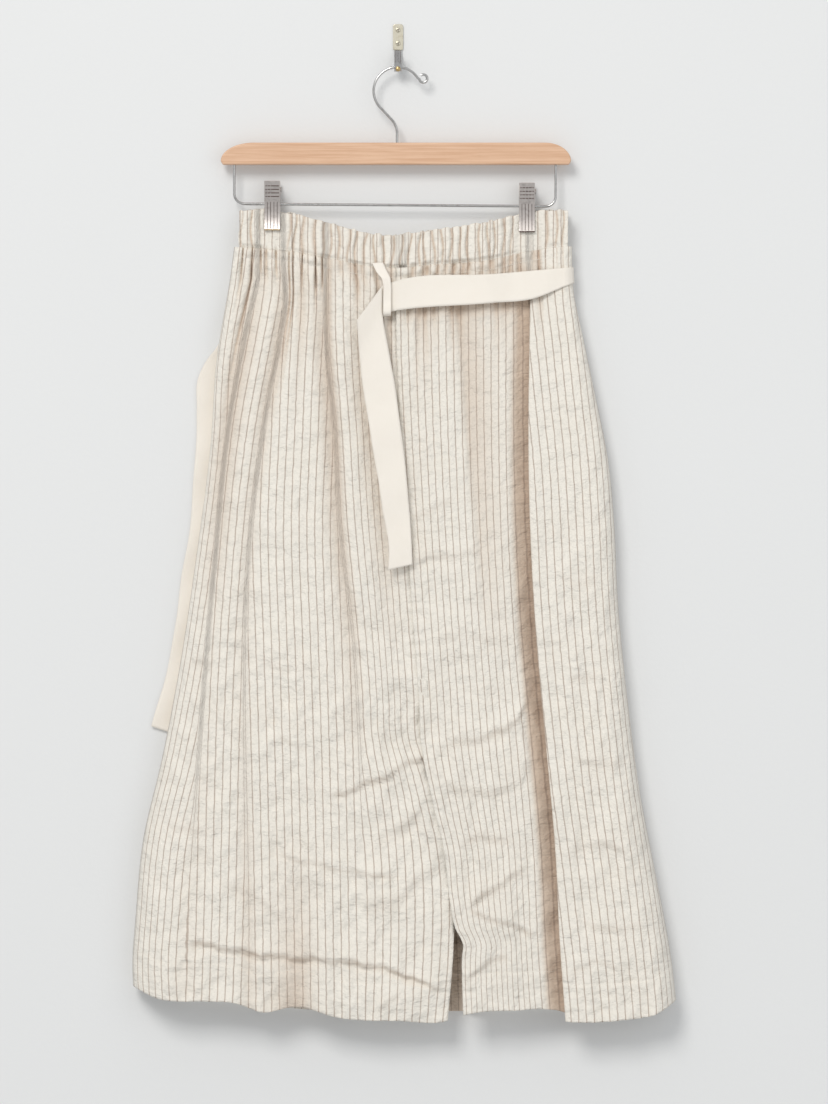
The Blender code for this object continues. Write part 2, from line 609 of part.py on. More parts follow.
def run_drop(x):
    """Drop of the bottom run of the wire under the bar."""
    share = (x - DROP_LEFT) / (DROP_RIGHT - DROP_LEFT)
    return DROP_RUN[0] + (DROP_RUN[1] - DROP_RUN[0]) * share


def drop_wire(collection):
    """Wire that leaves the bar near both ends and runs below it, through the clips' rolls."""
    top = -BAR_TOP - BAR_HEIGHT - SEAM_GAP
    left = (DROP_LEFT + DROP_CORNER, -run_drop(DROP_LEFT) + DROP_CORNER)
    right = (DROP_RIGHT - DROP_CORNER, -run_drop(DROP_RIGHT) + DROP_CORNER)
    path = [(DROP_LEFT, top)] + arc(left, DROP_CORNER, 180, 270, 6)
    path += arc(right, DROP_CORNER, 270, 360, 6) + [(DROP_RIGHT, top)]
    wire(collection, "drop_wire", upright(path), DROP_WIRE, "steel")


def clip(collection, side, x):
    """One clip: two sheet jaws on either side of a roll that turns on the drop wire."""
    z = -run_drop(x)
    grip = CLIP_PINCH + SEAM_GAP + CLIP_SHEET / 2
    for name, face in (("front", -1), ("back", 1)):
        outline = band_outline([(face * (grip + away), up) for away, up in JAW], CLIP_SHEET)
        obj = plate_of(collection, f"clip_{side}_{name}_jaw", outline, CLIP_WIDTH, "steel")
        obj.rotation_euler = (math.pi / 2, 0.0, math.pi / 2)
        obj.location = (x, HANGER_Y, z)
    profile = bpy.data.meshes.new(f"clip_{side}_roll")
    half = CLIP_WIDTH / 2
    ring = [(-half, 0, ROLL_INNER), (half, 0, ROLL_INNER), (half, 0, ROLL_OUTER), (-half, 0, ROLL_OUTER)]
    profile.from_pydata(ring, [(0, 1), (1, 2), (2, 3), (3, 0)], [])
    roll = add(collection, f"clip_{side}_roll", profile, "steel")
    screw = roll.modifiers.new("Turned", "SCREW")
    screw.axis = "X"
    screw.steps = screw.render_steps = 16
    screw.use_merge_vertices = True
    screw.merge_threshold = 0.00001
    roll.location = (x, HANGER_Y, z)


def wall_plate(collection):
    bpy.ops.mesh.primitive_cube_add(size=1.0, location=(0.0, -PLATE_SHEET / 2, 0.0))
    obj = bpy.context.object
    obj.name = obj.data.name = "wall_plate"
    obj.scale = (PLATE_WIDTH, PLATE_SHEET, PLATE_HEIGHT)
    bpy.ops.object.transform_apply(location=False, rotation=False, scale=True)
    obj.data.materials.append(finish_of("wall_plate", "brass"))
    for owner in obj.users_collection:
        owner.objects.unlink(obj)
    collection.objects.link(obj)


def wall_screws(collection):
    for name, height in SCREW_HEIGHTS:
        bpy.ops.mesh.primitive_cylinder_add(vertices=16, radius=SCREW_RADIUS, depth=SCREW_HEAD)
        obj = bpy.context.object
        obj.name = obj.data.name = f"wall_screw_{name}"
        obj.rotation_euler.x = math.pi / 2
        obj.location = (0.0, -PLATE_SHEET - SEAM_GAP - SCREW_HEAD / 2, height)
        obj.data.materials.append(finish_of(obj.name, "steel"))
        edges = obj.modifiers.new("Eased edges", "BEVEL")
        edges.width = SCREW_EASE
        edges.segments = 2
        for owner in obj.users_collection:
            owner.objects.unlink(obj)
        collection.objects.link(obj)


def wall_strap(collection):
    """Bent strap below the plate: down, forward under the hanger's hook and up in front of it."""
    wire_z = HOOK_CENTRE[1] + HOOK_RADIUS - STRAP_SAG
    crook = HOOK_WIRE + SEAM_GAP + STRAP_SHEET / 2
    top = (-STRAP_SHEET / 2, -PLATE_HEIGHT / 2 - SEAM_GAP)
    path = [(top[0] + y, top[1] + z) for y, z in STRAP_NECK]
    path += [(HANGER_Y + y, wire_z + z) for y, z in arc((0.0, 0.0), crook, *STRAP_TURN, 6)]
    path += [(HANGER_Y + y, wire_z + z) for y, z in STRAP_FRONT]
    obj = plate_of(collection, "wall_strap", band_outline(path, STRAP_SHEET), STRAP_WIDTH, "steel")
    obj.rotation_euler = (math.pi / 2, 0.0, math.pi / 2)


def main():
    clear_scene()
    collection = bpy.data.collections.new("wrap_skirt_on_hanger")
    bpy.context.scene.collection.children.link(collection)
    waistband(collection, "waistband_front", FRONT_DEPTH, -1)
    waistband(collection, "waistband_back", BACK_DEPTH, 1)
    front_panel_left(collection)
    front_panel_right(collection)
    back_panel(collection)
    tie_across(collection)
    strip(collection, "tie_right_hanging", HANGING_TIE, HANGING_TIE_OUT)
    strip(collection, "tie_loop", LOOP, LOOP_OUT)
    tie_left(collection)
    hanger_bar(collection)
    hanger_hook(collection)
    drop_wire(collection)
    for side, x in CLIPS:
        clip(collection, side, x)
    wall_plate(collection)
    wall_screws(collection)
    wall_strap(collection)


main()
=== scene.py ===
# %% [markdown]
# # A striped wrap skirt on a clip hanger
# This lesson dresses a plain model of a linen skirt that hangs by two clips from a wooden hanger,
# on a small wall hook. The plain model gives every piece its place and size. Here each piece gets
# the shape and the finish of the real one: gathers, folds and creases in the cloth, stripes that
# follow the cut, stitches, wood grain and polished steel.
#
# The plain model is loaded first, and its box is kept, so that the finished one can be compared
# with it at the end.

# %% Load the frame
import collections
import math

import bmesh
import bpy
import numpy as np
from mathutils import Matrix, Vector
from mathutils.bvhtree import BVHTree


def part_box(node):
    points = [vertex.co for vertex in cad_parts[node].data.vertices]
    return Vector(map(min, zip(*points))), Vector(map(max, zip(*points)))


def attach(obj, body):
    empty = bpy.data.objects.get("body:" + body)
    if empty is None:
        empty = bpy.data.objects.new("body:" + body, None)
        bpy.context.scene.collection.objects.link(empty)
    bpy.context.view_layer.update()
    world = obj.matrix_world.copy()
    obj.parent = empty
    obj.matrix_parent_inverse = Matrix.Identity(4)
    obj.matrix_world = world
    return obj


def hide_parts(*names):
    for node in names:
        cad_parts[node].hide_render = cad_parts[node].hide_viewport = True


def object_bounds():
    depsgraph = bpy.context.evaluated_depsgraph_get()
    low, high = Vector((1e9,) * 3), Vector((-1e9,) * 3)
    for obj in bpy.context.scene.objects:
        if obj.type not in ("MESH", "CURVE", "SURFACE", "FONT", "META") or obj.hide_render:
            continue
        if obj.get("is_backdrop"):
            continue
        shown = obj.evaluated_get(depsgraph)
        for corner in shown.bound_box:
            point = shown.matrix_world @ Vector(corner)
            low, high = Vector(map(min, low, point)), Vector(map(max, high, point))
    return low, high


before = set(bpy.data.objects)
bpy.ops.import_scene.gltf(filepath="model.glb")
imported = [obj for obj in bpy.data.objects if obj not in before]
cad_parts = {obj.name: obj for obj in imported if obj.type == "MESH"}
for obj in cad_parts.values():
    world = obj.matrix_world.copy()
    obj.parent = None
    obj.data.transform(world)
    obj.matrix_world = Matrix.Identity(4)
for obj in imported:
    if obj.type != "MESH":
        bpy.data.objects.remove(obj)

cad_box = [list(corner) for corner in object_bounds()]
print("nodes:", len(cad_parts), "box:", [[round(v, 3) for v in corner] for corner in cad_box])

# %% [markdown]
# ## Reading a line
# Every outline, fold and hem of the skirt is a line with a few known places on it. One function
# reads such a line anywhere, with a smooth curve between its places. A second one is the soft step
# from 0 to 1 that makes one thing fade into another. A place is written as (x, drop), where the
# drop is the distance below the wall plate's middle, in metres.

# %% Lines and soft steps
def along(points, at):
    """The smooth curve through (place, value) points, level past its ends."""
    places, values = np.array(points, dtype=float).T
    slopes = np.gradient(values, places)
    at = np.clip(at, places[0], places[-1])
    k = np.clip(np.searchsorted(places, at, side="right") - 1, 0, len(places) - 2)
    span = places[k + 1] - places[k]
    t = (at - places[k]) / span
    return (values[k] * (1 + 2 * t) * (1 - t) ** 2 + values[k + 1] * t * t * (3 - 2 * t)
            + span * slopes[k] * t * (1 - t) ** 2 - span * slopes[k + 1] * t * t * (1 - t))


def ease(low, high, at):
    """0 below low and 1 above high."""
    t = np.clip((at - low) / (high - low), 0.0, 1.0)
    return t * t * (3 - 2 * t)


def hump(at, middle, reach):
    """1 at the middle, and gone a few reaches away."""
    return np.exp(-(((at - middle) / reach) ** 2))


print("halfway along a step:", float(ease(0.0, 1.0, 0.5)))

# %% [markdown]
# ## The skirt's pattern
# These are the skirt's own lines: its two side seams, the centre front seam that opens into a vent,
# the dipping waistband and the uneven hem. They describe the cloth as it hangs, and the plain model
# was made to the same ones. The two ends of the hem are printed beside the plain model's boxes, so
# that a change there would be noticed here.

# %% Outline of the skirt
LEFT_EDGE = (
    (0.178, -0.159), (0.21, -0.167), (0.251, -0.173), (0.329, -0.186), (0.423, -0.193),
    (0.533, -0.207), (0.657, -0.226), (0.744, -0.243), (0.826, -0.262), (0.908, -0.27),
    (0.949, -0.273), (1.0, -0.271))
RIGHT_EDGE = (
    (0.178, 0.18), (0.221, 0.179), (0.257, 0.18), (0.313, 0.191), (0.375, 0.204),
    (0.436, 0.216), (0.498, 0.222), (0.58, 0.226), (0.682, 0.236), (0.785, 0.25),
    (0.867, 0.266), (0.949, 0.281), (1.0, 0.287))
CENTRE_SEAM = (
    (0.22, -0.002), (0.303, -0.002), (0.457, 0.005), (0.58, 0.014), (0.682, 0.0215), (0.723, 0.0236))
OVER_EDGE = CENTRE_SEAM + (
    (0.793, 0.037), (0.834, 0.047), (0.888, 0.053), (0.915, 0.0585), (0.932, 0.0665), (0.945, 0.0655),
    (0.965, 0.0655), (1.01, 0.067))
UNDER_EDGE = CENTRE_SEAM + (
    (0.752, 0.033), (0.793, 0.044), (0.834, 0.053), (0.888, 0.0575), (0.94, 0.0565), (1.01, 0.051))
BAND_TOP = (
    (-0.17, 0.1795), (-0.155, 0.1785), (-0.143, 0.1775), (-0.129, 0.1785), (-0.1, 0.1835),
    (-0.065, 0.1935), (-0.02, 0.204), (0.04, 0.1985), (0.096, 0.19), (0.13, 0.1815),
    (0.152, 0.1788), (0.185, 0.1788))
GATHER_LINE = (
    (-0.17, 0.217), (-0.129, 0.219), (-0.065, 0.23), (-0.021, 0.238), (0.04, 0.235),
    (0.096, 0.23), (0.132, 0.2215), (0.174, 0.2165))
FRONT_HEM = (
    (-0.271, 0.976), (-0.25, 0.986), (-0.197, 0.99), (-0.17, 0.991), (-0.139, 1.001),
    (-0.104, 0.996), (-0.06, 1.007), (0.0, 1.01), (0.051, 1.0105), (0.067, 1.0045),
    (0.125, 0.999), (0.15, 0.998), (0.168, 1.003), (0.174, 1.0095), (0.18, 1.011), (0.188, 1.0115),
    (0.23, 1.009), (0.262, 1.004), (0.287, 0.99))
BACK_HEM = ((-0.271, 0.976), (-0.2, 0.99), (0.06, 1.003), (0.2, 0.998), (0.287, 0.99))
left_box, right_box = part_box("front_panel_left"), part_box("front_panel_right")
print("hem, left and right:", LEFT_EDGE[-2][1], RIGHT_EDGE[-1][1], "in the frame:",
      round(left_box[0][0], 4), round(right_box[1][0], 4))

# %% [markdown]
# ## How deep the skirt stands
# A skirt on a hanger is nearly flat. The front bows out from the side seams by 8 mm at the waist
# and by 33 mm at the hem, and it turns in to each seam in a quarter of an ellipse. The seams lie in
# the hanger's own plane. Where a clip bites, front and back are squeezed together.

# %% Depth of the front and the back
HANGER_Y = (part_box("hanger_bar")[0][1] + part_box("hanger_bar")[1][1]) / 2
SEAM_RUN = 0.0012
CLIP_PINCH = 0.0036
FRONT_DEPTH = (
    (0.178, 0.008), (0.23, 0.0095), (0.3, 0.013), (0.45, 0.0185), (0.7, 0.0245), (1.0, 0.033))
BACK_DEPTH = ((0.178, 0.0065), (0.23, 0.007), (0.4, 0.0085), (1.0, 0.0095))
BACK_TURN = ((0.178, 0.005), (0.23, 0.008), (0.45, 0.018), (1.0, 0.024))
LEFT_TURN = ((0.178, 0.005), (0.23, 0.009), (0.3, 0.016), (0.45, 0.04), (1.0, 0.048))
RIGHT_TURN = ((0.178, 0.005), (0.23, 0.009), (0.3, 0.012), (0.45, 0.02), (1.0, 0.026))
CLIPS = [sum(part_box(f"clip_{side}_front_jaw")[end][0] for end in (0, 1)) / 2 for side in ("left", "right")]


def pinch(x, drop):
    """1 where a clip squeezes the cloth, fading along the waistband and down the skirt."""
    squeeze = 0.0
    for clip_x in CLIPS:
        squeeze = np.maximum(squeeze, 1 - ease(0.011, 0.045, np.abs(x - clip_x)))
    return squeeze * (1 - ease(0.205, 0.33, drop))


def bowed(depths, left_turn, right_turn, x, drop):
    """How far a face of the skirt stands from the plane of its side seams, before any fold."""
    into = np.minimum((x - along(LEFT_EDGE, drop)) / along(left_turn, drop),
                      (along(RIGHT_EDGE, drop) - x) / along(right_turn, drop))
    into = np.clip(into, 0.0, 1.0)
    share = np.sqrt(into * (2 - into))
    flat = along(depths, drop)
    flat = flat - (flat - CLIP_PINCH) * pinch(x, drop)
    return SEAM_RUN + (flat - SEAM_RUN) * share, share


print("hanger plane:", round(HANGER_Y, 4), "clips at", [round(x, 4) for x in CLIPS])

# %% [markdown]
# ## Folds down the skirt
# Long folds fall from the waistband. Each is a line down the skirt with a reach to either side and
# a depth that changes down its length. A plain valley suits the soft ones.

# %% Long folds
SIDE_FOLD = dict(
    line=((0.25, -0.144), (0.303, -0.156), (0.395, -0.173), (0.54, -0.188), (1.0, -0.222)),
    left=0.011, right=0.013, depth=((0.23, 0.002), (0.32, 0.006), (0.48, 0.005), (0.62, 0.001)))
LEFT_FOLD = dict(
    line=((0.236, -0.118), (0.272, -0.116), (0.303, -0.12), (0.385, -0.135), (0.46, -0.146), (1.0, -0.152)),
    left=0.009, right=0.007,
    depth=((0.23, 0.002), (0.29, 0.006), (0.42, 0.004), (0.6, 0.002), (1.0, 0.003)))
NEAR_FOLD = dict(
    line=((0.236, -0.098), (0.3, -0.099), (0.36, -0.101), (0.44, -0.106)),
    left=0.006, right=0.005, depth=((0.23, 0.002), (0.275, 0.0045), (0.34, 0.002), (0.42, 0.0)))
MIDDLE_FOLD = dict(
    line=((0.23, -0.075), (0.323, -0.073), (0.405, -0.065), (0.498, -0.06), (0.61, -0.047), (1.0, -0.034)),
    left=0.012, right=0.006,
    depth=((0.23, 0.002), (0.33, 0.007), (0.52, 0.006), (0.64, 0.003), (0.78, 0.0)))
TIE_FOLD = dict(
    line=((0.3, -0.04), (0.354, -0.037), (0.432, -0.026), (0.54, -0.012), (0.64, -0.004)),
    left=0.012, right=0.01, depth=((0.28, 0.001), (0.38, 0.004), (0.52, 0.003), (0.64, 0.0)))
HEM_FOLD = dict(
    line=((0.8, -0.1), (1.0, -0.104)),
    left=0.022, right=0.016, depth=((0.8, 0.0), (0.94, 0.004), (1.01, 0.009)))
SOFT_FOLD = dict(
    line=((0.25, 0.058), (0.313, 0.066), (0.415, 0.074), (0.54, 0.086), (1.0, 0.11)),
    left=0.005, right=0.024, depth=((0.23, 0.002), (0.3, 0.005), (0.5, 0.0035), (0.64, 0.0)))
LEFT_FOLDS = (SIDE_FOLD, LEFT_FOLD, NEAR_FOLD, MIDDLE_FOLD, TIE_FOLD, HEM_FOLD)
RIGHT_FOLDS = (SOFT_FOLD,)
BACK_FOLDS = (
    dict(line=((0.23, -0.06), (1.0, -0.09)), left=0.014, right=0.01,
         depth=((0.23, 0.001), (0.4, 0.003), (1.0, 0.0035))),
    dict(line=((0.23, 0.05), (1.0, 0.085)), left=0.01, right=0.016,
         depth=((0.23, 0.001), (0.4, 0.003), (1.0, 0.0035))))


def folded(folds, x, drop):
    """How deep the long folds press the cloth in."""
    total = np.zeros_like(x)
    for fold in folds:
        offset = x - along(fold["line"], drop)
        reach = np.where(offset < 0, fold["left"], fold["right"])
        total += along(fold["depth"], drop) * np.exp(-((offset / reach) ** 2))
    return total


print("long folds in front:", len(LEFT_FOLDS) + len(RIGHT_FOLDS) + 1)

# %% [markdown]
# The deepest fold is more than a valley: the right of the skirt rolls over it and hides its bottom.
# A section across it is given as places along the cloth, each with its own shift sideways and its
# share of the fold's depth. Columns of the mesh are set close together there.

# %% The deep fold, which the cloth rolls over
DEEP_LINE = (
    (0.23, 0.13), (0.303, 0.131), (0.4, 0.131), (0.5, 0.133), (0.61, 0.139), (0.733, 0.15),
    (0.836, 0.159), (0.94, 0.164), (1.01, 0.169))
DEEP_DEPTH = (
    (0.225, 0.001), (0.255, 0.004), (0.29, 0.008), (0.35, 0.0105), (0.5, 0.013), (0.7, 0.014),
    (1.01, 0.0125))
DEEP_LEFT = 0.026
DEEP_RIGHT = 0.018
FULL_ROLL = 0.012  # depth at which the roll has its whole sideways shift
ROLL_SHIFT = (
    (-0.026, 0.0), (-0.01, 0.0), (-0.002, 0.003), (0.001, 0.0065), (0.003, 0.006), (0.005, 0.002),
    (0.007, -0.004), (0.009, -0.0062), (0.012, -0.0045), (0.018, 0.0))
ROLL_DEPTH = (
    (-0.026, 0.0), (-0.018, 0.1), (-0.01, 0.42), (-0.004, 0.8), (0.0, 0.98), (0.003, 0.92),
    (0.005, 0.7), (0.007, 0.36), (0.009, 0.1), (0.012, -0.06), (0.018, 0.0))
print("the roll hides", ROLL_SHIFT[3][1] - ROLL_SHIFT[7][1], "m of cloth")

# %% [markdown]
# ## Writing a material as sums
# A material is a tree of nodes, and much of it is arithmetic. One small class wraps an output
# socket, so that a sum in Python adds the Math nodes by itself. Any other node comes from one
# method, which sets its settings first and then its sockets.

# %% The shader arithmetic
class Signal:
    """One output socket of a shader tree, with arithmetic."""

    def __init__(self, socket):
        self.socket = socket

    @property
    def tree(self):
        return self.socket.id_data

    @staticmethod
    def node(tree, kind, settings=(), values=(), output=0):
        made = tree.nodes.new(kind)
        for name, value in dict(settings).items():
            if name == "stops":
                for k, (place, shade) in enumerate(value):
                    stop = made.color_ramp.elements[k] if k < 2 else made.color_ramp.elements.new(place)
                    stop.position = place
                    stop.color = (*shade, 1.0)
            else:
                setattr(made, name, value)
        for name, value in dict(values).items():
            if isinstance(value, Signal):
                tree.links.new(value.socket, made.inputs[name])
            else:
                made.inputs[name].default_value = value
        return Signal(made.outputs[output])

    def math(self, operation, *others):
        return Signal.node(self.tree, "ShaderNodeMath", {"operation": operation},
                           dict(enumerate((self, *others))))

    def __add__(self, other): return self.math("ADD", other)
    def __radd__(self, other): return self.math("ADD", other)
    def __sub__(self, other): return self.math("SUBTRACT", other)
    def __mul__(self, other): return self.math("MULTIPLY", other)
    def __rmul__(self, other): return self.math("MULTIPLY", other)
    def __truediv__(self, other): return self.math("DIVIDE", other)

    def __rsub__(self, other):
        return Signal.node(self.tree, "ShaderNodeMath", {"operation": "SUBTRACT"}, {0: other, 1: self})

    def step(self, low, high):
        """0 below low and 1 above high."""
        return Signal.node(self.tree, "ShaderNodeMapRange", {"interpolation_type": "SMOOTHSTEP"},
                           {"Value": self, "From Min": low, "From Max": high})


def mixed(mask, first, second):
    """The first colour where the mask is 0 and the second where it is 1."""
    return Signal.node(mask.tree, "ShaderNodeMix", {"data_type": "RGBA"},
                       {0: mask, 6: first if isinstance(first, Signal) else (*first, 1.0),
                        7: second if isinstance(second, Signal) else (*second, 1.0)}, output=2)


class Finish:
    """One material, its tree and its Principled shader."""

    def __init__(self, name, roughness, metallic=0.0, **constants):
        self.material = bpy.data.materials.new(name)
        self.material.use_nodes = True
        self.tree = self.material.node_tree
        self.shader = self.tree.nodes["Principled BSDF"]
        self.shader.inputs["Roughness"].default_value = roughness
        self.shader.inputs["Metallic"].default_value = metallic
        for socket, value in constants.items():
            self.shader.inputs[socket.replace("_", " ")].default_value = value

    def node(self, kind, settings=(), values=(), output=0):
        return Signal.node(self.tree, kind, settings, values, output)

    def places(self):
        """Object coordinates, as one vector."""
        return self.node("ShaderNodeTexCoord", output=3)

    def noise(self, vector, scale, detail=2.0, roughness=0.5):
        return self.node("ShaderNodeTexNoise", {}, {"Vector": vector, "Scale": scale, "Detail": detail,
                                                    "Roughness": roughness})

    def colour(self, value):
        if isinstance(value, Signal):
            self.tree.links.new(value.socket, self.shader.inputs["Base Color"])
        else:
            self.shader.inputs["Base Color"].default_value = (*value, 1.0)

    def rough(self, value):
        self.tree.links.new(value.socket, self.shader.inputs["Roughness"])

    def bump(self, height, distance, strength=1.0):
        bumped = self.node("ShaderNodeBump", {},
                           {"Strength": strength, "Distance": distance, "Height": height})
        self.tree.links.new(bumped.socket, self.shader.inputs["Normal"])


print("shader arithmetic ready")

# %% [markdown]
# ## Striped linen
# The cloth is an open, slubby plain weave in natural cream, with a thin brown-grey stripe every
# 8 mm. The stripe is woven in, so it is charted on the flat cloth by a formula: the distance to the
# nearest multiple of the stripe's spacing. It wavers by a fraction of a millimetre and its yarn is
# darker in some places than in others. The weave is too fine to see one thread at a time, so it is
# a stretched noise both ways, in the bump and faintly in the colour.

# %% Linen
STRIPE_SPACING = 0.008
STRIPE_WIDTH = 0.00105
STRIPE_WAVER = 0.0016
CREAM = (0.905, 0.86, 0.78)
DEEP_CREAM = (0.8, 0.73, 0.63)
WARM_SHADE = (0.56, 0.4, 0.28)
STRIPE = (0.39, 0.285, 0.22)


def linen():
    finish = Finish("striped_linen", 0.92, Sheen_Weight=0.12, Sheen_Roughness=0.6)
    chart = finish.node("ShaderNodeUVMap", {"uv_map": "cloth"})
    split = finish.node("ShaderNodeSeparateXYZ", {}, {0: chart})
    across = split
    down = Signal(split.socket.node.outputs[1])
    waver = finish.noise(chart, 95.0, 2.0)
    place = (across + (waver - 0.5) * STRIPE_WAVER) / STRIPE_SPACING
    off_line = (place.math("FRACT") - 0.5).math("ABSOLUTE") * STRIPE_SPACING
    line = 1 - off_line.step(STRIPE_WIDTH * 0.3, STRIPE_WIDTH * 0.85)
    along_yarn = finish.node("ShaderNodeCombineXYZ", {}, {0: across * 900.0, 1: down * 70.0})
    across_yarn = finish.node("ShaderNodeCombineXYZ", {}, {0: across * 80.0, 1: down * 900.0})
    warp = finish.noise(along_yarn, 1.0, 3.0)
    weft = finish.noise(across_yarn, 1.0, 3.0)
    cloudy = finish.noise(chart, 26.0, 3.0)
    weave = warp * 0.5 + weft * 0.5
    flattened = finish.node("ShaderNodeCombineXYZ", {}, {0: across * 75.0, 1: down * 120.0})
    level_wrinkles = finish.noise(flattened, 1.0, 5.0, 0.62)
    fine_wrinkles = finish.noise(chart, 210.0, 4.0, 0.62)
    # Painted shade: each point's value for how deep it lies in a tuck, fold or crease darkens the colour
    # towards WARM_SHADE.
    tuck = finish.node("ShaderNodeAttribute", {"attribute_name": "tuck"}, output=2)
    # The ground goes deeper with the cloud and weave noise, which is the yarn's own tone, and with the bump's
    # wrinkle noise, which is painted shade.
    tone_and_wrinkle_shade = (cloudy * 0.5 + level_wrinkles * 0.5 + weave * 0.4 - 0.4) * 0.8
    ground = mixed(tone_and_wrinkle_shade, CREAM, DEEP_CREAM)
    shaded = mixed(tuck.math("MINIMUM", 1.0) * 0.75, ground, WARM_SHADE)
    finish.colour(mixed(line * (0.4 + warp * 0.55), shaded, STRIPE))
    patches = finish.noise(chart, 42.0, 6.0, 0.58)
    finish.bump(weave * 0.35 + fine_wrinkles * 1.1 + level_wrinkles * 3.0 + patches * 8.0, 0.001, 0.9)
    return finish.material


striped_linen = linen()
print("a stripe every", STRIPE_SPACING * 1000, "mm")

# %% [markdown]
# ## Twill tape
# The ties are cream cotton tape, woven in a fine twill. Its diagonal ribs are under a millimetre
# apart and hardly show, and its edges are straight selvedges.

# %% Tape
RIB_SPACING = 0.0011  # measured across the tape


def twill():
    finish = Finish("twill_tape", 0.88, Sheen_Weight=0.1, Sheen_Roughness=0.5)
    chart = finish.node("ShaderNodeUVMap", {"uv_map": "cloth"})
    split = finish.node("ShaderNodeSeparateXYZ", {}, {0: chart})
    down = Signal(split.socket.node.outputs[1])
    ribs = ((split + down) * (2 * math.pi / RIB_SPACING)).math("SINE")
    cloudy = finish.noise(chart, 40.0, 3.0)
    along_thread = finish.node("ShaderNodeCombineXYZ", {}, {0: split * 1000.0, 1: down * 120.0})
    threads = finish.noise(along_thread, 1.0, 3.0)
    finish.colour(mixed(cloudy * 0.5 + threads * 0.35 - 0.1, (0.95, 0.89, 0.805), (0.9, 0.825, 0.725)))
    finish.bump(ribs * 0.25 + threads * 0.8, 0.0004, 0.6)
    return finish.material


twill_tape = twill()
print("tape ready")

# %% [markdown]
# ## Gathers
# The elastic draws 620 mm of cloth into 345 mm in front. The spare cloth tucks into narrow valleys
# that start at the waistband and fade at different lengths. Their places are drawn once from a
# seeded generator, so that the waistband and the panels share them and every run gives the same.

# %% Where the gathers start
random = np.random.default_rng(11)
FRONT_PLEATS = 38
BAND_LEFT, BAND_RIGHT = -0.163, 0.175


def pleat_places(count, jitter):
    """Places across the waist, evenly spread and then shaken a little."""
    places = np.linspace(BAND_LEFT + 0.004, BAND_RIGHT - 0.004, count)
    return places + random.uniform(-jitter, jitter, count)


front_pleats = pleat_places(FRONT_PLEATS, 0.0024)
back_pleats = pleat_places(FRONT_PLEATS, 0.0024)
print("one gather every", round(1000 * (BAND_RIGHT - BAND_LEFT) / FRONT_PLEATS, 1), "mm")

# %% [markdown]
# ## Laying out the cloth
# Each panel is a grid. Its columns are threads of the cloth and keep their place in it all the way
# down. A guide ties one column to a line on the skirt. Between two guides the columns are spread
# evenly, but closer together where a gather hides cloth. The stripes are charted beside each long
# fold, so that they keep their spacing there and the fold hides the rest.

# %% Guides and the layout
Guide = collections.namedtuple("Guide", "column x")


def lay_out(guides, columns, drop, crowd):
    """x of every grid point."""
    x = np.empty_like(drop)
    stops = np.searchsorted(columns, [guide.column - 1e-7 for guide in guides])
    for a, b, i, j in zip(guides, guides[1:], stops, stops[1:]):
        weight = 1 - crowd[:, i:j + 1]
        steps = (weight[:, 1:] + weight[:, :-1]) / 2 * np.diff(columns[i:j + 1])
        share = np.concatenate([np.zeros((len(drop), 1)), np.cumsum(steps, axis=1)], axis=1)
        share /= share[:, -1:]
        at = drop[:, i:j + 1]
        x[:, i:j + 1] = along(a.x, at) + (along(b.x, at) - along(a.x, at)) * share
    return x


def charted(sections, hides, x, drop):
    """Place in the flat cloth: stripes keep their spacing beside each line, and folds hide the rest."""
    line, value = sections[0]
    cloth = value + x - along(line, drop)
    for (line, value), (hide, width) in zip(sections[1:], hides):
        past = ease(-width, width, x - along(hide, drop))
        cloth = cloth * (1 - past) + (value + x - along(line, drop)) * past
    return cloth


def columns_between(guides, step, fine_at=None, fine_reach=0.02, fine_step=0.0007):
    """Columns at every guide and evenly between them, closer together near one place."""
    columns = []
    for a, b in zip(guides, guides[1:]):
        middle = (a.column + b.column) / 2
        here = fine_step if fine_at is not None and abs(middle - fine_at) < fine_reach else step
        count = max(2, round((b.column - a.column) / here))
        columns += np.linspace(a.column, b.column, count + 1)[:-1].tolist()
    return np.array(columns + [guides[-1].column])


def shifted(line, by):
    return tuple((drop, x + by) for drop, x in line)


def midway(first, second):
    """The line halfway between two."""
    drops = np.linspace(0.21, 1.01, 33)
    return tuple(zip(drops, (along(first, drops) + along(second, drops)) / 2))


vent_opening = float(along(OVER_EDGE, 0.95) - along(UNDER_EDGE, 0.95))
print("near the hem the vent stands open by", round(1000 * vent_opening, 1), "mm")

# %% [markdown]
# ## Relief of the gathers and the creases
# Three things raise and sink the cloth inside a fold's slope. The gathers are narrow valleys that
# widen and fade on the way down. The creases are soft ridges, round on their upper side and sharp
# under it, as in linen that was folded in a drawer. The crumple is a fine, seeded unevenness all
# over, made from crossing waves whose folded values give the sharp little ridges that linen has.

# %% Gathers as valleys
def valleys(centres, columns, below, reach, width, spread):
    """Each gather's valley at every grid point, from 0 to 1, and fading over its own length."""
    count = len(centres)
    length = reach[0] + (reach[1] - reach[0]) * random.random(count) ** 2.2
    depth = random.uniform(0.55, 1.0, count)
    sway = random.uniform(-0.05, 0.05, count)
    total = np.zeros_like(below)
    for k in range(count):
        centre = centres[k] + sway[k] * np.clip(below, 0, None)
        wide = width + spread * np.clip(below, 0, None)
        fade = depth[k] * (1 - ease(0.0, length[k], below))
        total += fade * np.exp(-(((columns - centre) / wide) ** 2))
    return np.clip(total, 0.0, 1.15)


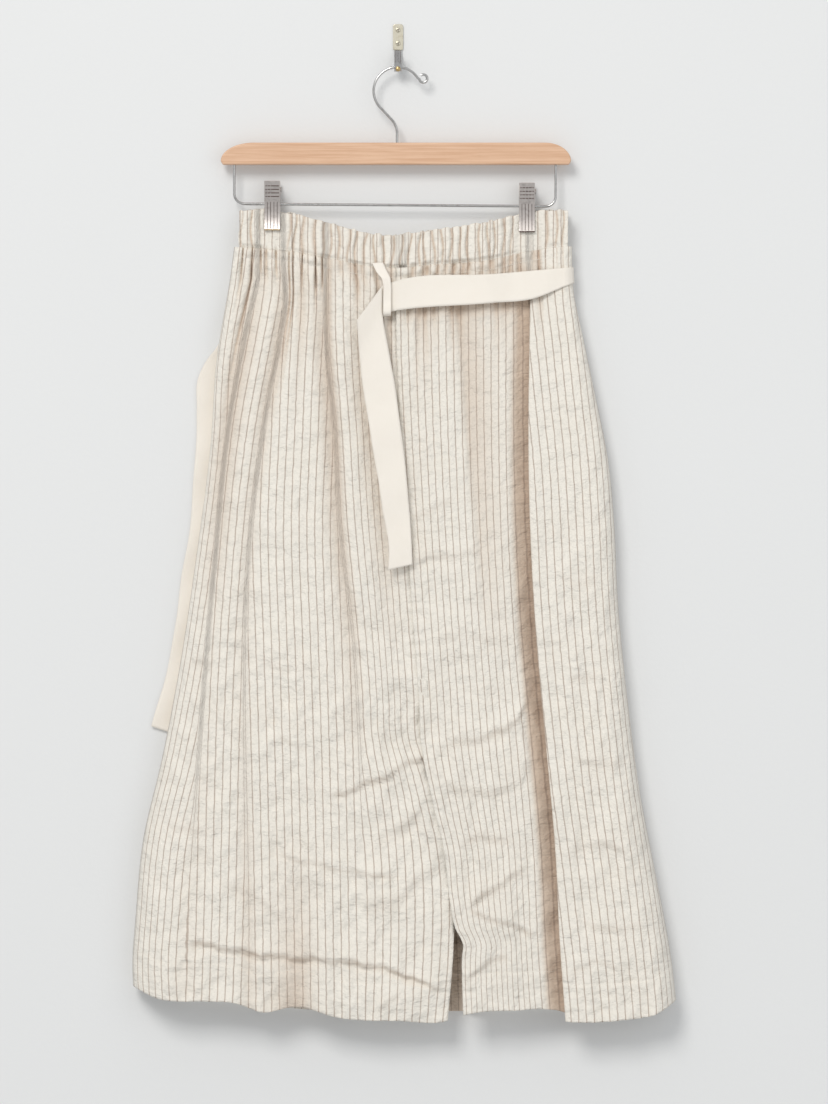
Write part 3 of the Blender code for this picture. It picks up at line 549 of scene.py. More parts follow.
def crumple(x, drop, seed, longest, shortest, layers=4):
    """Fine unevenness from -1 to 1, with sharp little ridges."""
    shaken = np.random.default_rng(seed)
    total = np.zeros_like(x)
    weight = 0.0
    for layer in range(layers):
        size = longest * (shortest / longest) ** (layer / max(1, layers - 1))
        wave = np.zeros_like(x)
        for _ in range(7):
            angle = shaken.uniform(0, math.pi)
            pace = 2 * math.pi / (size * shaken.uniform(0.7, 1.5))
            bend = shaken.uniform(0, 2 * math.pi)
            turn = pace * (x * math.cos(angle) * 1.25 + drop * math.sin(angle) * 0.8)
            wave += np.sin(turn + bend + 0.9 * np.sin(turn * 0.31 + 2.1 * bend + 3 * x / size * 0.2))
        share = 0.62 ** layer
        total += share * (1 - 2 * np.sqrt((wave / 3.2) ** 2 + 0.02))
        weight += share
    return total / weight


print("crumple at one place:", round(float(crumple(np.zeros(1), np.ones(1), 1, 0.05, 0.012)[0]), 3))

# %% Creases
CREASE_HEIGHT = 1.45  # every crease stands this many times its tabled height
TALL_CREASE = 0.0045  # from this height on, the line under a crease is as dark as it gets
SHARP_CREASE = 0.003  # and up to this steepness


def crease(points, height, above, under, taper=0.012):
    """A soft ridge along (x, drop) points: round above its line and steep below it."""
    return dict(points=points, height=height, above=above, under=under, taper=taper)


def crease_waver(x, start):
    """How far a crease strays from its line: none runs quite straight."""
    return 0.0012 * np.sin(x * 173 + 400 * start) + 0.0006 * np.sin(x * 431 + 900 * start)


def crease_strength(x, start):
    """How fully a crease stands at each place along it: it fades and gathers again."""
    return 0.72 + 0.28 * np.sin(x * 83 + 700 * start) * np.sin(x * 37 + 300 * start)


def beneath(one, x, drop):
    """How far each grid point lies below a crease, and how fully the crease stands there."""
    start, end = one["points"][0][0], one["points"][-1][0]
    below = drop - along(one["points"], x) - crease_waver(x, start)
    ends = ease(start, start + one["taper"], x) * (1 - ease(end - one["taper"], end, x))
    return below, ends * crease_strength(x, start)


def creased(creases, x, drop):
    """How far the creases raise the cloth at every grid point."""
    total = np.zeros_like(x)
    for one in creases:
        below, stands = beneath(one, x, drop)
        slope = np.where(below < 0, np.exp(below / one["above"]),
                         np.exp(-((np.clip(below, 0, None) / one["under"]) ** 2)))
        dip = 0.35 * hump(below, 1.9 * one["under"], 1.3 * one["under"])
        total += CREASE_HEIGHT * one["height"] * stands * (slope - dip)
    return total


def crease_shade(creases, x, drop):
    """How dark the line under each crease is: warm, since light reaches it off the cloth itself."""
    total = np.zeros_like(x)
    for one in creases:
        below, stands = beneath(one, x, drop)
        line = hump(below, 0.9 * one["under"], 1.1 * one["under"])
        tall, sharp = one["height"] / TALL_CREASE, SHARP_CREASE / one["under"]
        total += stands * line * min(tall, 1.0) * min(sharp, 1.0)
    return total


LEFT_CREASES = [crease(*row) for row in (
    (((-0.07, 0.779), (-0.0595, 0.7767), (-0.039, 0.7675), (-0.0133, 0.759), (0.0072, 0.746),
            (0.0277, 0.7387), (0.04, 0.737)), 0.0042, 0.016, 0.0028),
    (((-0.1262, 0.8393), (-0.1005, 0.8444), (-0.0698, 0.8516), (-0.0185, 0.8598), (0.0021, 0.8618)),
           0.0026, 0.01, 0.0018, 0.02),
    (((-0.218, 0.926), (-0.2031, 0.9285), (-0.1518, 0.9388), (-0.1108, 0.9439), (-0.0595, 0.947),
            (-0.0287, 0.9511), (0.0021, 0.9593), (0.0328, 0.9716), (0.048, 0.976)), 0.005, 0.016, 0.0026),
    (((-0.0236, 1.0004), (-0.016, 0.993), (-0.0082, 0.985), (0.005, 0.98)), 0.0025, 0.009, 0.003, 0.006),
    (((-0.125, 0.717), (-0.108, 0.725), (-0.092, 0.73)), 0.0016, 0.008, 0.0022, 0.006),
    (((-0.042, 0.89), (0.0, 0.879), (0.025, 0.858), (0.048, 0.843)), 0.003, 0.02, 0.008, 0.02),
    (((-0.03, 0.825), (0.005, 0.806), (0.035, 0.778)), 0.0026, 0.018, 0.008, 0.015),
    (((-0.19, 0.86), (-0.15, 0.876), (-0.115, 0.902)), 0.0018, 0.016, 0.006, 0.02),
    (((-0.145, 0.635), (-0.115, 0.646), (-0.075, 0.642)), 0.0014, 0.014, 0.005, 0.02),
    (((-0.24, 0.805), (-0.215, 0.812), (-0.185, 0.809)), 0.0015, 0.01, 0.004, 0.012),
    (((-0.23, 0.645), (-0.208, 0.64), (-0.185, 0.645)), 0.0014, 0.01, 0.004, 0.012),
)]
RIGHT_CREASES = [crease(*row) for row in (
    (((0.07, 0.892), (0.0821, 0.8998), (0.1047, 0.906), (0.1252, 0.9142), (0.1457, 0.9203)),
           0.0032, 0.012, 0.0026),
    (((0.0687, 0.8926), (0.085, 0.881), (0.1047, 0.867), (0.1354, 0.8485)), 0.0032, 0.014, 0.004),
    (((0.065, 0.9655), (0.0841, 0.9542), (0.1005, 0.9439), (0.115, 0.94)), 0.0026, 0.01, 0.003, 0.01),
    (((0.048, 0.726), (0.0585, 0.7233), (0.0944, 0.7151), (0.1252, 0.6946), (0.1375, 0.6772)),
           0.0034, 0.014, 0.004),
    (((0.0062, 0.4935), (0.02, 0.4905), (0.038, 0.4822), (0.06, 0.474)), 0.0016, 0.01, 0.003, 0.01),
    (((0.011, 0.535), (0.03, 0.534), (0.0739, 0.5284), (0.09, 0.529)), 0.0018, 0.01, 0.004, 0.015),
    (((0.03, 0.62), (0.065, 0.611), (0.105, 0.618)), 0.0018, 0.014, 0.005, 0.02),
    (((0.042, 0.76), (0.075, 0.772), (0.115, 0.768), (0.14, 0.754)), 0.0022, 0.014, 0.005, 0.02),
    (((0.055, 0.828), (0.085, 0.82), (0.128, 0.825)), 0.0022, 0.013, 0.004, 0.02),
    (((0.17, 0.66), (0.195, 0.654), (0.215, 0.658)), 0.0018, 0.01, 0.004, 0.012),
    (((0.175, 0.735), (0.205, 0.744), (0.235, 0.74)), 0.002, 0.011, 0.004, 0.012),
    (((0.172, 0.835), (0.2, 0.826), (0.24, 0.833)), 0.0022, 0.012, 0.004, 0.015),
    (((0.185, 0.905), (0.22, 0.913), (0.256, 0.906)), 0.0022, 0.012, 0.004, 0.015),
    (((0.175, 0.955), (0.205, 0.948), (0.23, 0.953)), 0.002, 0.01, 0.003, 0.012),
    (((0.16, 0.55), (0.185, 0.558), (0.208, 0.555)), 0.0015, 0.01, 0.004, 0.012),
)]
BACK_CREASE = ((-0.06, -0.006), (-0.02, 0.004), (0.02, 0.006), (0.06, -0.004))
BACK_CREASES = tuple(
    crease([(x0 + dx, d0 + dd) for dx, dd in BACK_CREASE], height, 0.016, 0.004, 0.02)
    for x0, d0, height in ((-0.15, 0.64, 0.0022), (0.06, 0.7, 0.0026), (-0.05, 0.8, 0.003),
                           (0.17, 0.82, 0.0026), (-0.18, 0.88, 0.003), (0.04, 0.92, 0.0034),
                           (0.19, 0.94, 0.0026), (-0.08, 0.52, 0.0016), (0.11, 0.56, 0.0018)))
print("creases:", len(LEFT_CREASES), len(RIGHT_CREASES), len(BACK_CREASES))

# %% [markdown]
# ## From grid to cloth
# A grid of points becomes a mesh whose faces look outwards. Its UV map holds the place in the flat
# cloth in metres, for the stripes. A second value on each point is painted shade: it says how deep
# the point lies in a tuck, and the linen's colour turns warm and dark by it, since light that reaches
# the bottom of a tuck has bounced off warm cloth. Solidify gives the thickness of linen, inwards.

# %% Building a sheet
LINEN = 0.0008
TAPE = 0.001


def place(name, data):
    """A new object in the scene, at the origin."""
    obj = bpy.data.objects.new(name, data)
    bpy.context.scene.collection.objects.link(obj)
    return obj


def cloth_piece(name, x, y, drop, cloth, down, tuck, thickness, material, to_wall=False):
    points = np.stack([x, y, -drop], axis=-1)
    extra = np.stack([cloth, down, tuck], axis=-1)
    if to_wall:
        points, extra = points[:, ::-1], extra[:, ::-1]
    rows, count, _ = points.shape
    index = np.arange(rows * count).reshape(rows, count)
    corners = index[:-1, :-1], index[1:, :-1], index[1:, 1:], index[:-1, 1:]
    faces = np.stack(corners, axis=-1).reshape(-1, 4)
    mesh = bpy.data.meshes.new(name)
    mesh.vertices.add(rows * count)
    mesh.vertices.foreach_set("co", points.reshape(-1).astype(np.float32))
    mesh.loops.add(faces.size)
    mesh.loops.foreach_set("vertex_index", faces.reshape(-1).astype(np.int32))
    mesh.polygons.add(len(faces))
    mesh.polygons.foreach_set("loop_start", np.arange(0, faces.size, 4, dtype=np.int32))
    mesh.update(calc_edges=True)
    mesh.shade_smooth()
    extra = extra.reshape(-1, 3)
    chart = mesh.uv_layers.new(name="cloth")
    chart.data.foreach_set("uv", extra[faces.reshape(-1), :2].reshape(-1).astype(np.float32))
    # The painted shade is stored on the points, for the linen's colour to read.
    deep = mesh.attributes.new("tuck", "FLOAT", "POINT")
    deep.data.foreach_set("value", extra[:, 2].astype(np.float32))
    mesh.materials.append(material)
    obj = place(name, mesh)
    solid = obj.modifiers.new("thickness", "SOLIDIFY")
    solid.thickness = thickness
    solid.offset = -1.0
    print(name, len(faces) * 4, "triangles with its thickness")
    return obj


print("linen", LINEN * 1000, "mm, tape", TAPE * 1000, "mm")

# %% [markdown]
# ## The left front
# The under panel runs from the left side seam to the centre front. It is tied to its long folds,
# so that the stripes run down beside them. Above the vent its edge lies under the other front, and
# below it hangs a little further back.

# %% Rows and shared shaping
ROWS = np.concatenate([
    np.linspace(0.0, 0.03, 17), np.linspace(0.03, 0.935, 212)[1:], np.linspace(0.935, 1.0, 30)[1:]])
ROW_STITCH = 0.01  # the second row of gathering stitches, below the first
HEM_WIDTH = 0.0385
TIE_TOP = ((-0.0164, 0.2575), (-0.0051, 0.2534), (0.0964, 0.2452), (0.1785, 0.238))
TIE_BOTTOM = ((-0.0421, 0.2924), (-0.0133, 0.2852), (0.0964, 0.275), (0.1385, 0.2705), (0.1785, 0.2545))
LAP = 0.0016  # how far the under panel lies behind the over panel
MOST_CROWDED = 0.8  # the share of its width that a column can lose in a gather
WAIST_SPLIT = 0.004  # gathers left of this x belong to the left front


def level_row(guides, columns, drop):
    """x of every column along one level line."""
    return lay_out(guides, columns, np.full((1, len(columns)), drop), np.zeros((1, len(columns))))[0]


def grid_of(guides, columns, hem, crowd_of):
    """Drop, x, distance below the waistband and depth in a gather, over a whole panel."""
    upper = along(GATHER_LINE, level_row(guides, columns, 0.23))
    lower = along(hem, level_row(guides, columns, 1.0))
    drop = upper + (lower - upper) * ROWS[:, None]
    below = drop - along(GATHER_LINE, lay_out(guides, columns, drop, np.zeros_like(drop)))
    tucked = crowd_of(below)
    x = lay_out(guides, columns, drop, np.clip(tucked * MOST_CROWDED, 0.0, MOST_CROWDED))
    return drop, x, below, tucked


GATHER_DEPTH = 0.0078
RUFFLE_PUFF = 0.0034  # between the two rows of stitches
LOWER_PUFF = 0.0036  # and under the second one
ROW_REACH = 0.0013
STITCH_DENT = 0.0005


def gathered(tucked, below, x):
    """The gathers' depth: pinched at both rows of stitches, with puffs between and under them."""
    at_rows = hump(below, 0.0, ROW_REACH) + hump(below, ROW_STITCH, ROW_REACH)
    lively = 0.75 + 0.45 * np.sin(x * 2 * math.pi / 0.0131 + 1.7 * np.sin(x * 137)) + 0.25 * np.sin(x * 1210)
    puff = RUFFLE_PUFF * lively * np.sin(math.pi * np.clip(below / ROW_STITCH, 0, 1)) * (1 - tucked)
    puff += LOWER_PUFF * lively * hump(below, 0.022, 0.01) * (1 - tucked)
    full = GATHER_DEPTH * (1 - 0.6 * ease(0.0, 0.2, below)) * tucked
    return full * (1 - 0.4 * at_rows) - puff + STITCH_DENT * at_rows


def crumpled(x, drop, below, seed):
    """Small unevenness of the cloth, stronger towards the hem."""
    strength = 0.001 + 0.0014 * ease(0.15, 0.5, below)
    fine = crumple(x, drop, seed, 0.05, 0.012)
    broad = crumple(x, drop, seed + 1, 0.17, 0.07, 2)
    return strength * fine + 0.003 * ease(0.08, 0.5, below) * broad


def seam_puckers(from_seam, drop):
    """Small ridges across the centre front seam, where its stitches draw the cloth in."""
    beat = np.sin(drop * 2 * math.pi / 0.0125 + 2.0 * np.sin(drop * 47))
    beat = beat + 0.6 * np.sin(drop * 2 * math.pi / 0.0078)
    return 0.0005 * beat * np.exp(-((from_seam / 0.01) ** 2)) * ease(0.3, 0.5, drop)


def hem_relief(x, drop, hem):
    """The turned-up hem: twice as thick, with its row of stitches drawn in and puckered."""
    up = along(hem, x) - drop
    double = 0.0007 * ease(HEM_WIDTH + 0.001, HEM_WIDTH - 0.001, up)
    pucker = 0.5 + 0.5 * np.sin(x * 2 * math.pi / 0.0115 + 2.0 * np.sin(x * 61))
    stitched = 0.0011 * hump(up, HEM_WIDTH, 0.0016)
    waves = 0.0007 * pucker * hump(up, HEM_WIDTH, 0.008)
    return double - stitched + waves


PINCHED_GATHER = 0.25  # the share of its depth that a gather loses under a clip
FULLY_SHADED_FOLD = 0.0115  # a fold this deep gets the whole painted shade
# how much the line under each crease adds to the painted shade
CREASE_SHADE_SHARE = 0.5


def front_surface(x, drop, below, tucked, long_folds, creases, seed, pressed=0.0):
    """y of a front panel, and how fully it stands off its side seams."""
    depth, share = bowed(FRONT_DEPTH, LEFT_TURN, RIGHT_TURN, x, drop)
    gathers = gathered(tucked, below, x) * (1 - PINCHED_GATHER * pinch(x, drop)) * (1 - pressed)
    raised = creased(creases, x, drop) + crumpled(x, drop, below, seed) + hem_relief(x, drop, FRONT_HEM)
    return HANGER_Y - depth + (long_folds + gathers - raised) * share, share


def front_painted_shade(tucked, below, long_folds, shade):
    """Painted shade of a front panel: how deep it lies in its gathers, folds and creases, from 0 up."""
    return tucked ** 1.2 * (1 - ease(0.02, 0.26, below)) + long_folds / FULLY_SHADED_FOLD + CREASE_SHADE_SHARE * shade


print("rows:", len(ROWS))

# %% Left front panel
LEFT_FULL = 0.345
SEAM_TURNING = 0.01  # how far the under panel's edge goes in behind the centre seam, above the vent
seam_drops = np.linspace(0.21, 1.01, 41)
tucked_under = along(UNDER_EDGE, seam_drops) + SEAM_TURNING * (1 - ease(0.69, 0.748, seam_drops))
left_guides = [
    Guide(0.0, LEFT_EDGE),
    Guide(0.062, SIDE_FOLD["line"]),
    Guide(0.135, LEFT_FOLD["line"]),
    Guide(0.258, MIDDLE_FOLD["line"]),
    Guide(LEFT_FULL, tuple(zip(seam_drops, tucked_under))),
]
left_columns = columns_between(left_guides, 0.0021)


def columns_at(guides, columns, places):
    """The columns that pass through these places at the waist."""
    return np.interp(places, level_row(guides, columns, 0.232), columns)


left_starts = columns_at(left_guides, left_columns, front_pleats[front_pleats < WAIST_SPLIT])
drop, x, below, tucked = grid_of(
    left_guides, left_columns, FRONT_HEM,
    lambda below: valleys(left_starts, left_columns, below, (0.03, 0.3), 0.0033, 0.016))
long_folds = folded(LEFT_FOLDS, x, drop)
y, share = front_surface(x, drop, below, tucked, long_folds, LEFT_CREASES, 21)
from_edge = along(left_guides[-1].x, drop) - x
y -= seam_puckers(from_edge - 0.008, drop)
y += LAP * ease(0.03, 0.0, from_edge)
y += 0.0035 * ease(0.663, 0.745, drop) * np.exp(-((from_edge / 0.055) ** 2))
left_lines = (shifted(LEFT_EDGE, 0.012), midway(SIDE_FOLD["line"], LEFT_FOLD["line"]),
              midway(LEFT_FOLD["line"], MIDDLE_FOLD["line"]), midway(MIDDLE_FOLD["line"], UNDER_EDGE),
              UNDER_EDGE)
hem_corner = along(UNDER_EDGE, 1.0)
left_sections = [(line, LEFT_FULL + float(along(line, 1.0) - hem_corner)) for line in left_lines]
left_hides = [(fold["line"], 0.0032) for fold in (SIDE_FOLD, LEFT_FOLD, MIDDLE_FOLD)]
left_hides.append((shifted(UNDER_EDGE, -0.03), 0.024))
cloth = charted(left_sections, left_hides, x, drop) - 0.5 * along(FRONT_DEPTH, drop) * (1 - share)
tuck = np.clip(front_painted_shade(tucked, below, long_folds, crease_shade(LEFT_CREASES, x, drop)), 0.0, 1.0)
left_top = x[0], y[0], cloth[0]
front_left = cloth_piece("linen_front_left", x, y, drop, cloth, below, tuck, LINEN, striped_linen)

# %% [markdown]
# ## The right front
# The over panel runs from the centre front seam and the vent's folded edge to the right side seam.
# Its deep fold gets the rolled section from above. The side seam is cut at a slant across the
# stripes, so fewer of them show at the waist than at the hem.

# %% Right front panel
RIGHT_FULL = 0.285
DEEP_COLUMN = 0.137
SEAM_CLOTH = LEFT_FULL - SEAM_TURNING
BEFORE_FOLD = 0.111  # cloth between the seam and the deep fold
PAST_FOLD = 0.216  # cloth between the seam and the line midway to the side seam
LIP_AT = 0.009
UNDER_LIP = ((0.0, -0.02), (0.003, -0.016), (0.005, -0.0105), (0.007, -0.005), (0.009, 0.0))
right_guides = [
    Guide(0.0, OVER_EDGE),
    Guide(DEEP_COLUMN - DEEP_LEFT, shifted(DEEP_LINE, -DEEP_LEFT)),
    Guide(DEEP_COLUMN, DEEP_LINE),
    Guide(DEEP_COLUMN + DEEP_RIGHT, shifted(DEEP_LINE, DEEP_RIGHT)),
    Guide(RIGHT_FULL, RIGHT_EDGE),
]
right_columns = columns_between(right_guides, 0.0021, DEEP_COLUMN, 0.02, 0.0009)
right_starts = columns_at(right_guides, right_columns, front_pleats[front_pleats >= WAIST_SPLIT])


def right_crowd(below):
    wells = valleys(right_starts, right_columns, below, (0.03, 0.24), 0.0033, 0.016)
    return wells * (1 - hump(right_columns, DEEP_COLUMN, 0.02) * ease(0.02, 0.08, below))


drop, x, below, tucked = grid_of(right_guides, right_columns, FRONT_HEM, right_crowd)
offset = np.clip(x - along(DEEP_LINE, drop), -DEEP_LEFT, DEEP_RIGHT)
deep = along(DEEP_DEPTH, drop)
rolled = along(ROLL_DEPTH, offset) * deep
under_end = 0.85 * ease(0.135, 0.16, x)  # the tie's end lies flat on the gathers and presses them
y, share = front_surface(
    x, drop, below, tucked, folded(RIGHT_FOLDS, x, drop) + rolled, RIGHT_CREASES, 31, under_end)
y -= seam_puckers(x - along(OVER_EDGE, drop) - 0.004, drop)
fold_x = along(DEEP_LINE, drop)
flat_run = fold_x - DEEP_LEFT - along(OVER_EDGE, drop)
before = np.clip((x - along(OVER_EDGE, drop)) / flat_run, 0.0, 1.0) * BEFORE_FOLD
x = x + along(ROLL_SHIFT, offset) * np.clip(deep / FULL_ROLL, 0.0, 1.1)
inner = SEAM_CLOTH + before + offset + DEEP_LEFT
past_line = midway(DEEP_LINE, RIGHT_EDGE)
lip_x = fold_x + LIP_AT + along(ROLL_SHIFT, LIP_AT)
beside = np.where(offset < LIP_AT, lip_x + along(UNDER_LIP, offset), x)
outer = SEAM_CLOTH + PAST_FOLD + beside - along(past_line, drop)
past = ease(0.0, 0.005, offset)
cloth = inner * (1 - past) + outer * past + 0.5 * along(FRONT_DEPTH, drop) * (1 - share) * past
# Painted shadow under the across tie's lower edge; below, the deep fold's valley also gets painted shade.
tie_shadow = hump(drop, along(TIE_BOTTOM, x) + 0.003, 0.008)
tie_shadow = tie_shadow * ease(-0.004, 0.01, x) * (1 - ease(0.115, 0.135, x))
tuck = front_painted_shade(tucked, below, folded(RIGHT_FOLDS, x, drop), crease_shade(RIGHT_CREASES, x, drop))
tuck = np.clip(tuck + ease(0.0003, 0.0056, rolled) + 0.45 * tie_shadow, 0.0, 1.0)
right_top = x[0], y[0], cloth[0]
front_right = cloth_piece("linen_front_right", x, y, drop, cloth, below, tuck, LINEN, striped_linen)

# %% [markdown]
# ## The back
# Nothing of the back shows from the front except inside the vent. It is gathered and creased like
# the front, with the same layout and its own seed.

# %% Back panel
BACK_FULL = 0.62
back_guides = [
    Guide(0.0, LEFT_EDGE),
    Guide(0.215, BACK_FOLDS[0]["line"]),
    Guide(0.395, BACK_FOLDS[1]["line"]),
    Guide(BACK_FULL, RIGHT_EDGE),
]
back_columns = columns_between(back_guides, 0.0034)
back_starts = columns_at(back_guides, back_columns, back_pleats)
drop, x, below, tucked = grid_of(
    back_guides, back_columns, BACK_HEM,
    lambda below: valleys(back_starts, back_columns, below, (0.03, 0.26), 0.0036, 0.018))
depth, share = bowed(BACK_DEPTH, BACK_TURN, BACK_TURN, x, drop)
long_folds = folded(BACK_FOLDS, x, drop)
relief = long_folds + gathered(tucked, below, x) * 0.55 * (1 - 0.6 * pinch(x, drop))
relief -= (0.6 * creased(BACK_CREASES, x, drop) + 0.7 * crumpled(x, drop, below, 41)
           + hem_relief(x, drop, BACK_HEM))
y = HANGER_Y + depth - relief * share
y = np.minimum(y, -0.0014)
# Painted shade on the back: in its gathers and folds, and where it shows inside the vent.
vent_shade = 0.9 * hump(x, 0.06, 0.016) * ease(0.9, 0.94, drop)
tuck = np.clip(tucked * 0.55 * (1 - ease(0.0, 0.22, below)) + long_folds / 0.0105 + vent_shade, 0.0, 1.0)
cloth = np.tile(back_columns, (len(ROWS), 1))
back_top = x[0], y[0], cloth[0]
back = cloth_piece("linen_back", x, y, drop, cloth, below, tuck, LINEN, striped_linen, to_wall=True)

# %% [markdown]
# ## The waistband
# The casing is stitched over wide elastic, which draws it into upright puffs. Between two gathers
# the cloth stands out in a rounded puff, and each puff has its own height, lean and top. The top
# is the fold of the casing, so it rounds over inwards, and the lower edge is drawn in by the
# stitches.

# %% Waistband halves
BAND = 0.0012
BAND_STEP = 0.00075
BAND_ROWS = np.concatenate([
    [0.0, 0.012, 0.03, 0.055], np.linspace(0.09, 0.9, 26), [0.93, 0.96, 0.985, 1.0, 1.0]])
BAND_PUFF = 0.0046
BAND_SINK = 0.0018  # how far the cloth between two puffs lies behind the casing's own depth
TOP_ROUND = 0.0022
TOP_UNEVEN = 0.0011
TURNED_UNDER = 0.0022  # the casing's lower edge turns in behind the panel's top
TURNED_IN = 0.0017


def waistband(name, depths, pleats, face, tops_of_panels, seed):
    shaken = np.random.default_rng(seed)
    across = np.arange(BAND_LEFT, BAND_RIGHT, BAND_STEP)
    upper, lower = along(BAND_TOP, across), along(GATHER_LINE, across)
    starts = np.concatenate([[BAND_LEFT - 0.004], pleats, [BAND_RIGHT + 0.004]])
    lean = shaken.uniform(-0.003, 0.003, len(starts)) + 0.0012
    height = shaken.uniform(0.55, 1.05, len(starts))
    tops = shaken.uniform(-TOP_UNEVEN, TOP_UNEVEN, len(starts))
    drop = upper + (lower - upper) * BAND_ROWS[:, None]
    x = np.tile(across, (len(BAND_ROWS), 1))
    phase = np.empty_like(x)
    order = np.arange(len(starts))
    for row, share in enumerate(BAND_ROWS):
        leaning = starts + lean * (1 - share) + 0.0012 * np.sin(5 * share + order)
        phase[row] = np.interp(across, leaning, order)
    k = np.floor(phase).astype(int)
    part = phase - k
    from_middle = np.abs(2 * part - 1)
    puff = height[k] * (1 - from_middle ** 2.6) + 0.2 * np.sin(4 * math.pi * part) * (height[k] - 0.55)
    drop = drop + (1 - BAND_ROWS[:, None]) ** 6 * (tops[k] * (1 - from_middle ** 3) + TOP_UNEVEN * (1 - puff))
    depth, share = bowed(depths, LEFT_TURN, RIGHT_TURN, x, drop)
    bite = np.min([np.abs(x - clip_x) for clip_x in CLIPS], axis=0)
    squeeze = 1 - 0.9 * (1 - ease(0.0085, 0.02, bite))
    drawn = np.clip((1 - BAND_ROWS[:, None]) / 0.1, 0.15, 1.0) ** 0.6
    stand = depth + (BAND_PUFF * puff * squeeze * drawn - BAND_SINK) * share
    rounded = TOP_ROUND * np.clip(1 - BAND_ROWS[:, None] / 0.055, 0.0, 1.0) ** 2
    y = HANGER_Y + face * np.maximum(stand - rounded * share, 0.0006)
    panel_x, panel_y, panel_cloth = (np.concatenate(row) for row in zip(*tops_of_panels))
    order = np.argsort(panel_x)
    y += (np.interp(x, panel_x[order], panel_y[order]) - y) * ease(0.88, 1.0, BAND_ROWS[:, None])
    y[-1] -= face * TURNED_IN
    drop[-1] += TURNED_UNDER
    cloth = np.interp(x, panel_x[order], panel_cloth[order])
    # Painted shade in the hollows between the puffs, less where a clip squeezes the casing.
    tuck = np.clip(0.95 - puff * 1.7, 0.0, 0.85) * squeeze
    return cloth_piece(name, x, y, drop, cloth, drop - upper, tuck, BAND, striped_linen, to_wall=face > 0)


band_front = waistband("waistband_casing_front", FRONT_DEPTH, front_pleats, -1, [left_top, right_top], 51)
band_back = waistband("waistband_casing_back", BACK_DEPTH, back_pleats, 1, [back_top], 52)

# %% [markdown]
# ## The ties
# Two tapes are sewn into the side seams. The right one crosses the front, goes through a small
# loop below the waistband and hangs down to its cut end. The left one has come loose and hangs
# between the skirt's edge and the wall. Each is a strip through pairs of places, its left and right
# edge, with a slight curl across it.

# %% Ties and loop
TIE_WIDTH = 0.03
BRIDGE = 0.0052
TIE_SEAM_DROP = 0.246
HANGING_TIE = (
    ((-0.0421, 0.2924), (-0.0164, 0.2586)), ((-0.0408, 0.312), (-0.0156, 0.289)),
    ((-0.039, 0.333), (-0.0098, 0.323)), ((-0.0369, 0.354), (-0.0041, 0.354)),
    ((-0.0308, 0.393), (0.0012, 0.392)), ((-0.0246, 0.432), (0.0062, 0.43)),
    ((-0.02, 0.458), (0.009, 0.457)), ((-0.0164, 0.483), (0.0113, 0.483)),
    ((-0.0092, 0.5325), (0.0144, 0.53)), ((-0.01, 0.549), (0.015, 0.543)))
HANGING_OUT = (0.0076, 0.0078, 0.0082, 0.0086, 0.0092, 0.0094, 0.0092, 0.0088, 0.0088, 0.0096)
LOOP = (
    ((-0.0267, 0.2339), (-0.0154, 0.2335)), ((-0.0215, 0.244), (-0.0112, 0.243)),
    ((-0.0165, 0.2505), (-0.0078, 0.25)), ((-0.0151, 0.256), (-0.0072, 0.256)),
    ((-0.0151, 0.272), (-0.0072, 0.272)), ((-0.0151, 0.2878), (-0.0072, 0.2872)),
    ((-0.0151, 0.2892), (-0.0072, 0.2886)))
LOOP_OUT = (0.0042, 0.006, 0.0088, 0.0094, 0.0096, 0.0094, 0.0056)
LEFT_TIE = (
    (-0.17, 0.244), (-0.171, 0.26), (-0.173, 0.28), (-0.178, 0.3), (-0.186, 0.318),
    (-0.198, 0.334), (-0.2062, 0.352), (-0.2075, 0.382), (-0.2093, 0.45), (-0.2155, 0.506),
    (-0.2216, 0.547), (-0.226, 0.588), (-0.2339, 0.625), (-0.2421, 0.67), (-0.2534, 0.71))
LEFT_TIE_Y = -0.0034
ACROSS_TAPE = np.linspace(0.0, 1.0, 13)


def front_y(x, drop):
    """The front's face, before any fold."""
    return HANGER_Y - bowed(FRONT_DEPTH, LEFT_TURN, RIGHT_TURN, x, drop)[0]


def smooth_rows(rows, count):
    """More rows of a strip, on smooth curves through the given ones."""
    rows = np.array(rows, dtype=float)
    rows = rows.reshape(len(rows), -1)
    length = np.concatenate([[0.0], np.cumsum(np.linalg.norm(np.diff(rows, axis=0), axis=1) + 1e-5)])
    at = np.linspace(0.0, length[-1], count)
    return np.column_stack([along(tuple(zip(length, column)), at) for column in rows.T]), at


def tape(name, x, y, drop, places, length):
    """A tape from its grid, charted by the places across it and its length so far."""
    cloth, down = np.broadcast_arrays(places, length)
    return cloth_piece(name, x, y, drop, cloth, down, np.zeros_like(x), TAPE, twill_tape)


def strip(name, rows, out, count, curl=0.0006, width=TIE_WIDTH):
    """A tape through rows of (left place, right place), standing off the front."""
    table = np.column_stack([np.array(rows).reshape(len(rows), 4), out])
    dense, length = smooth_rows(table, count)
    left, right, stand = dense[:, 0:2], dense[:, 2:4], dense[:, 4:5]
    x = left[:, :1] + (right[:, :1] - left[:, :1]) * ACROSS_TAPE
    drop = left[:, 1:] + (right[:, 1:] - left[:, 1:]) * ACROSS_TAPE
    ripple = 0.0005 * np.sin(length[:, None] * 70 + ACROSS_TAPE * 2) + curl * (2 * ACROSS_TAPE - 1) ** 2
    y = front_y(x, drop) - stand - ripple
    return tape(name, x, y, drop, ACROSS_TAPE * width, length[:, None])


tie_hanging = strip("tape_right_hanging", HANGING_TIE, HANGING_OUT, 150)
loop = strip("tape_loop", LOOP, LOOP_OUT, 50, curl=0.0, width=0.0085)

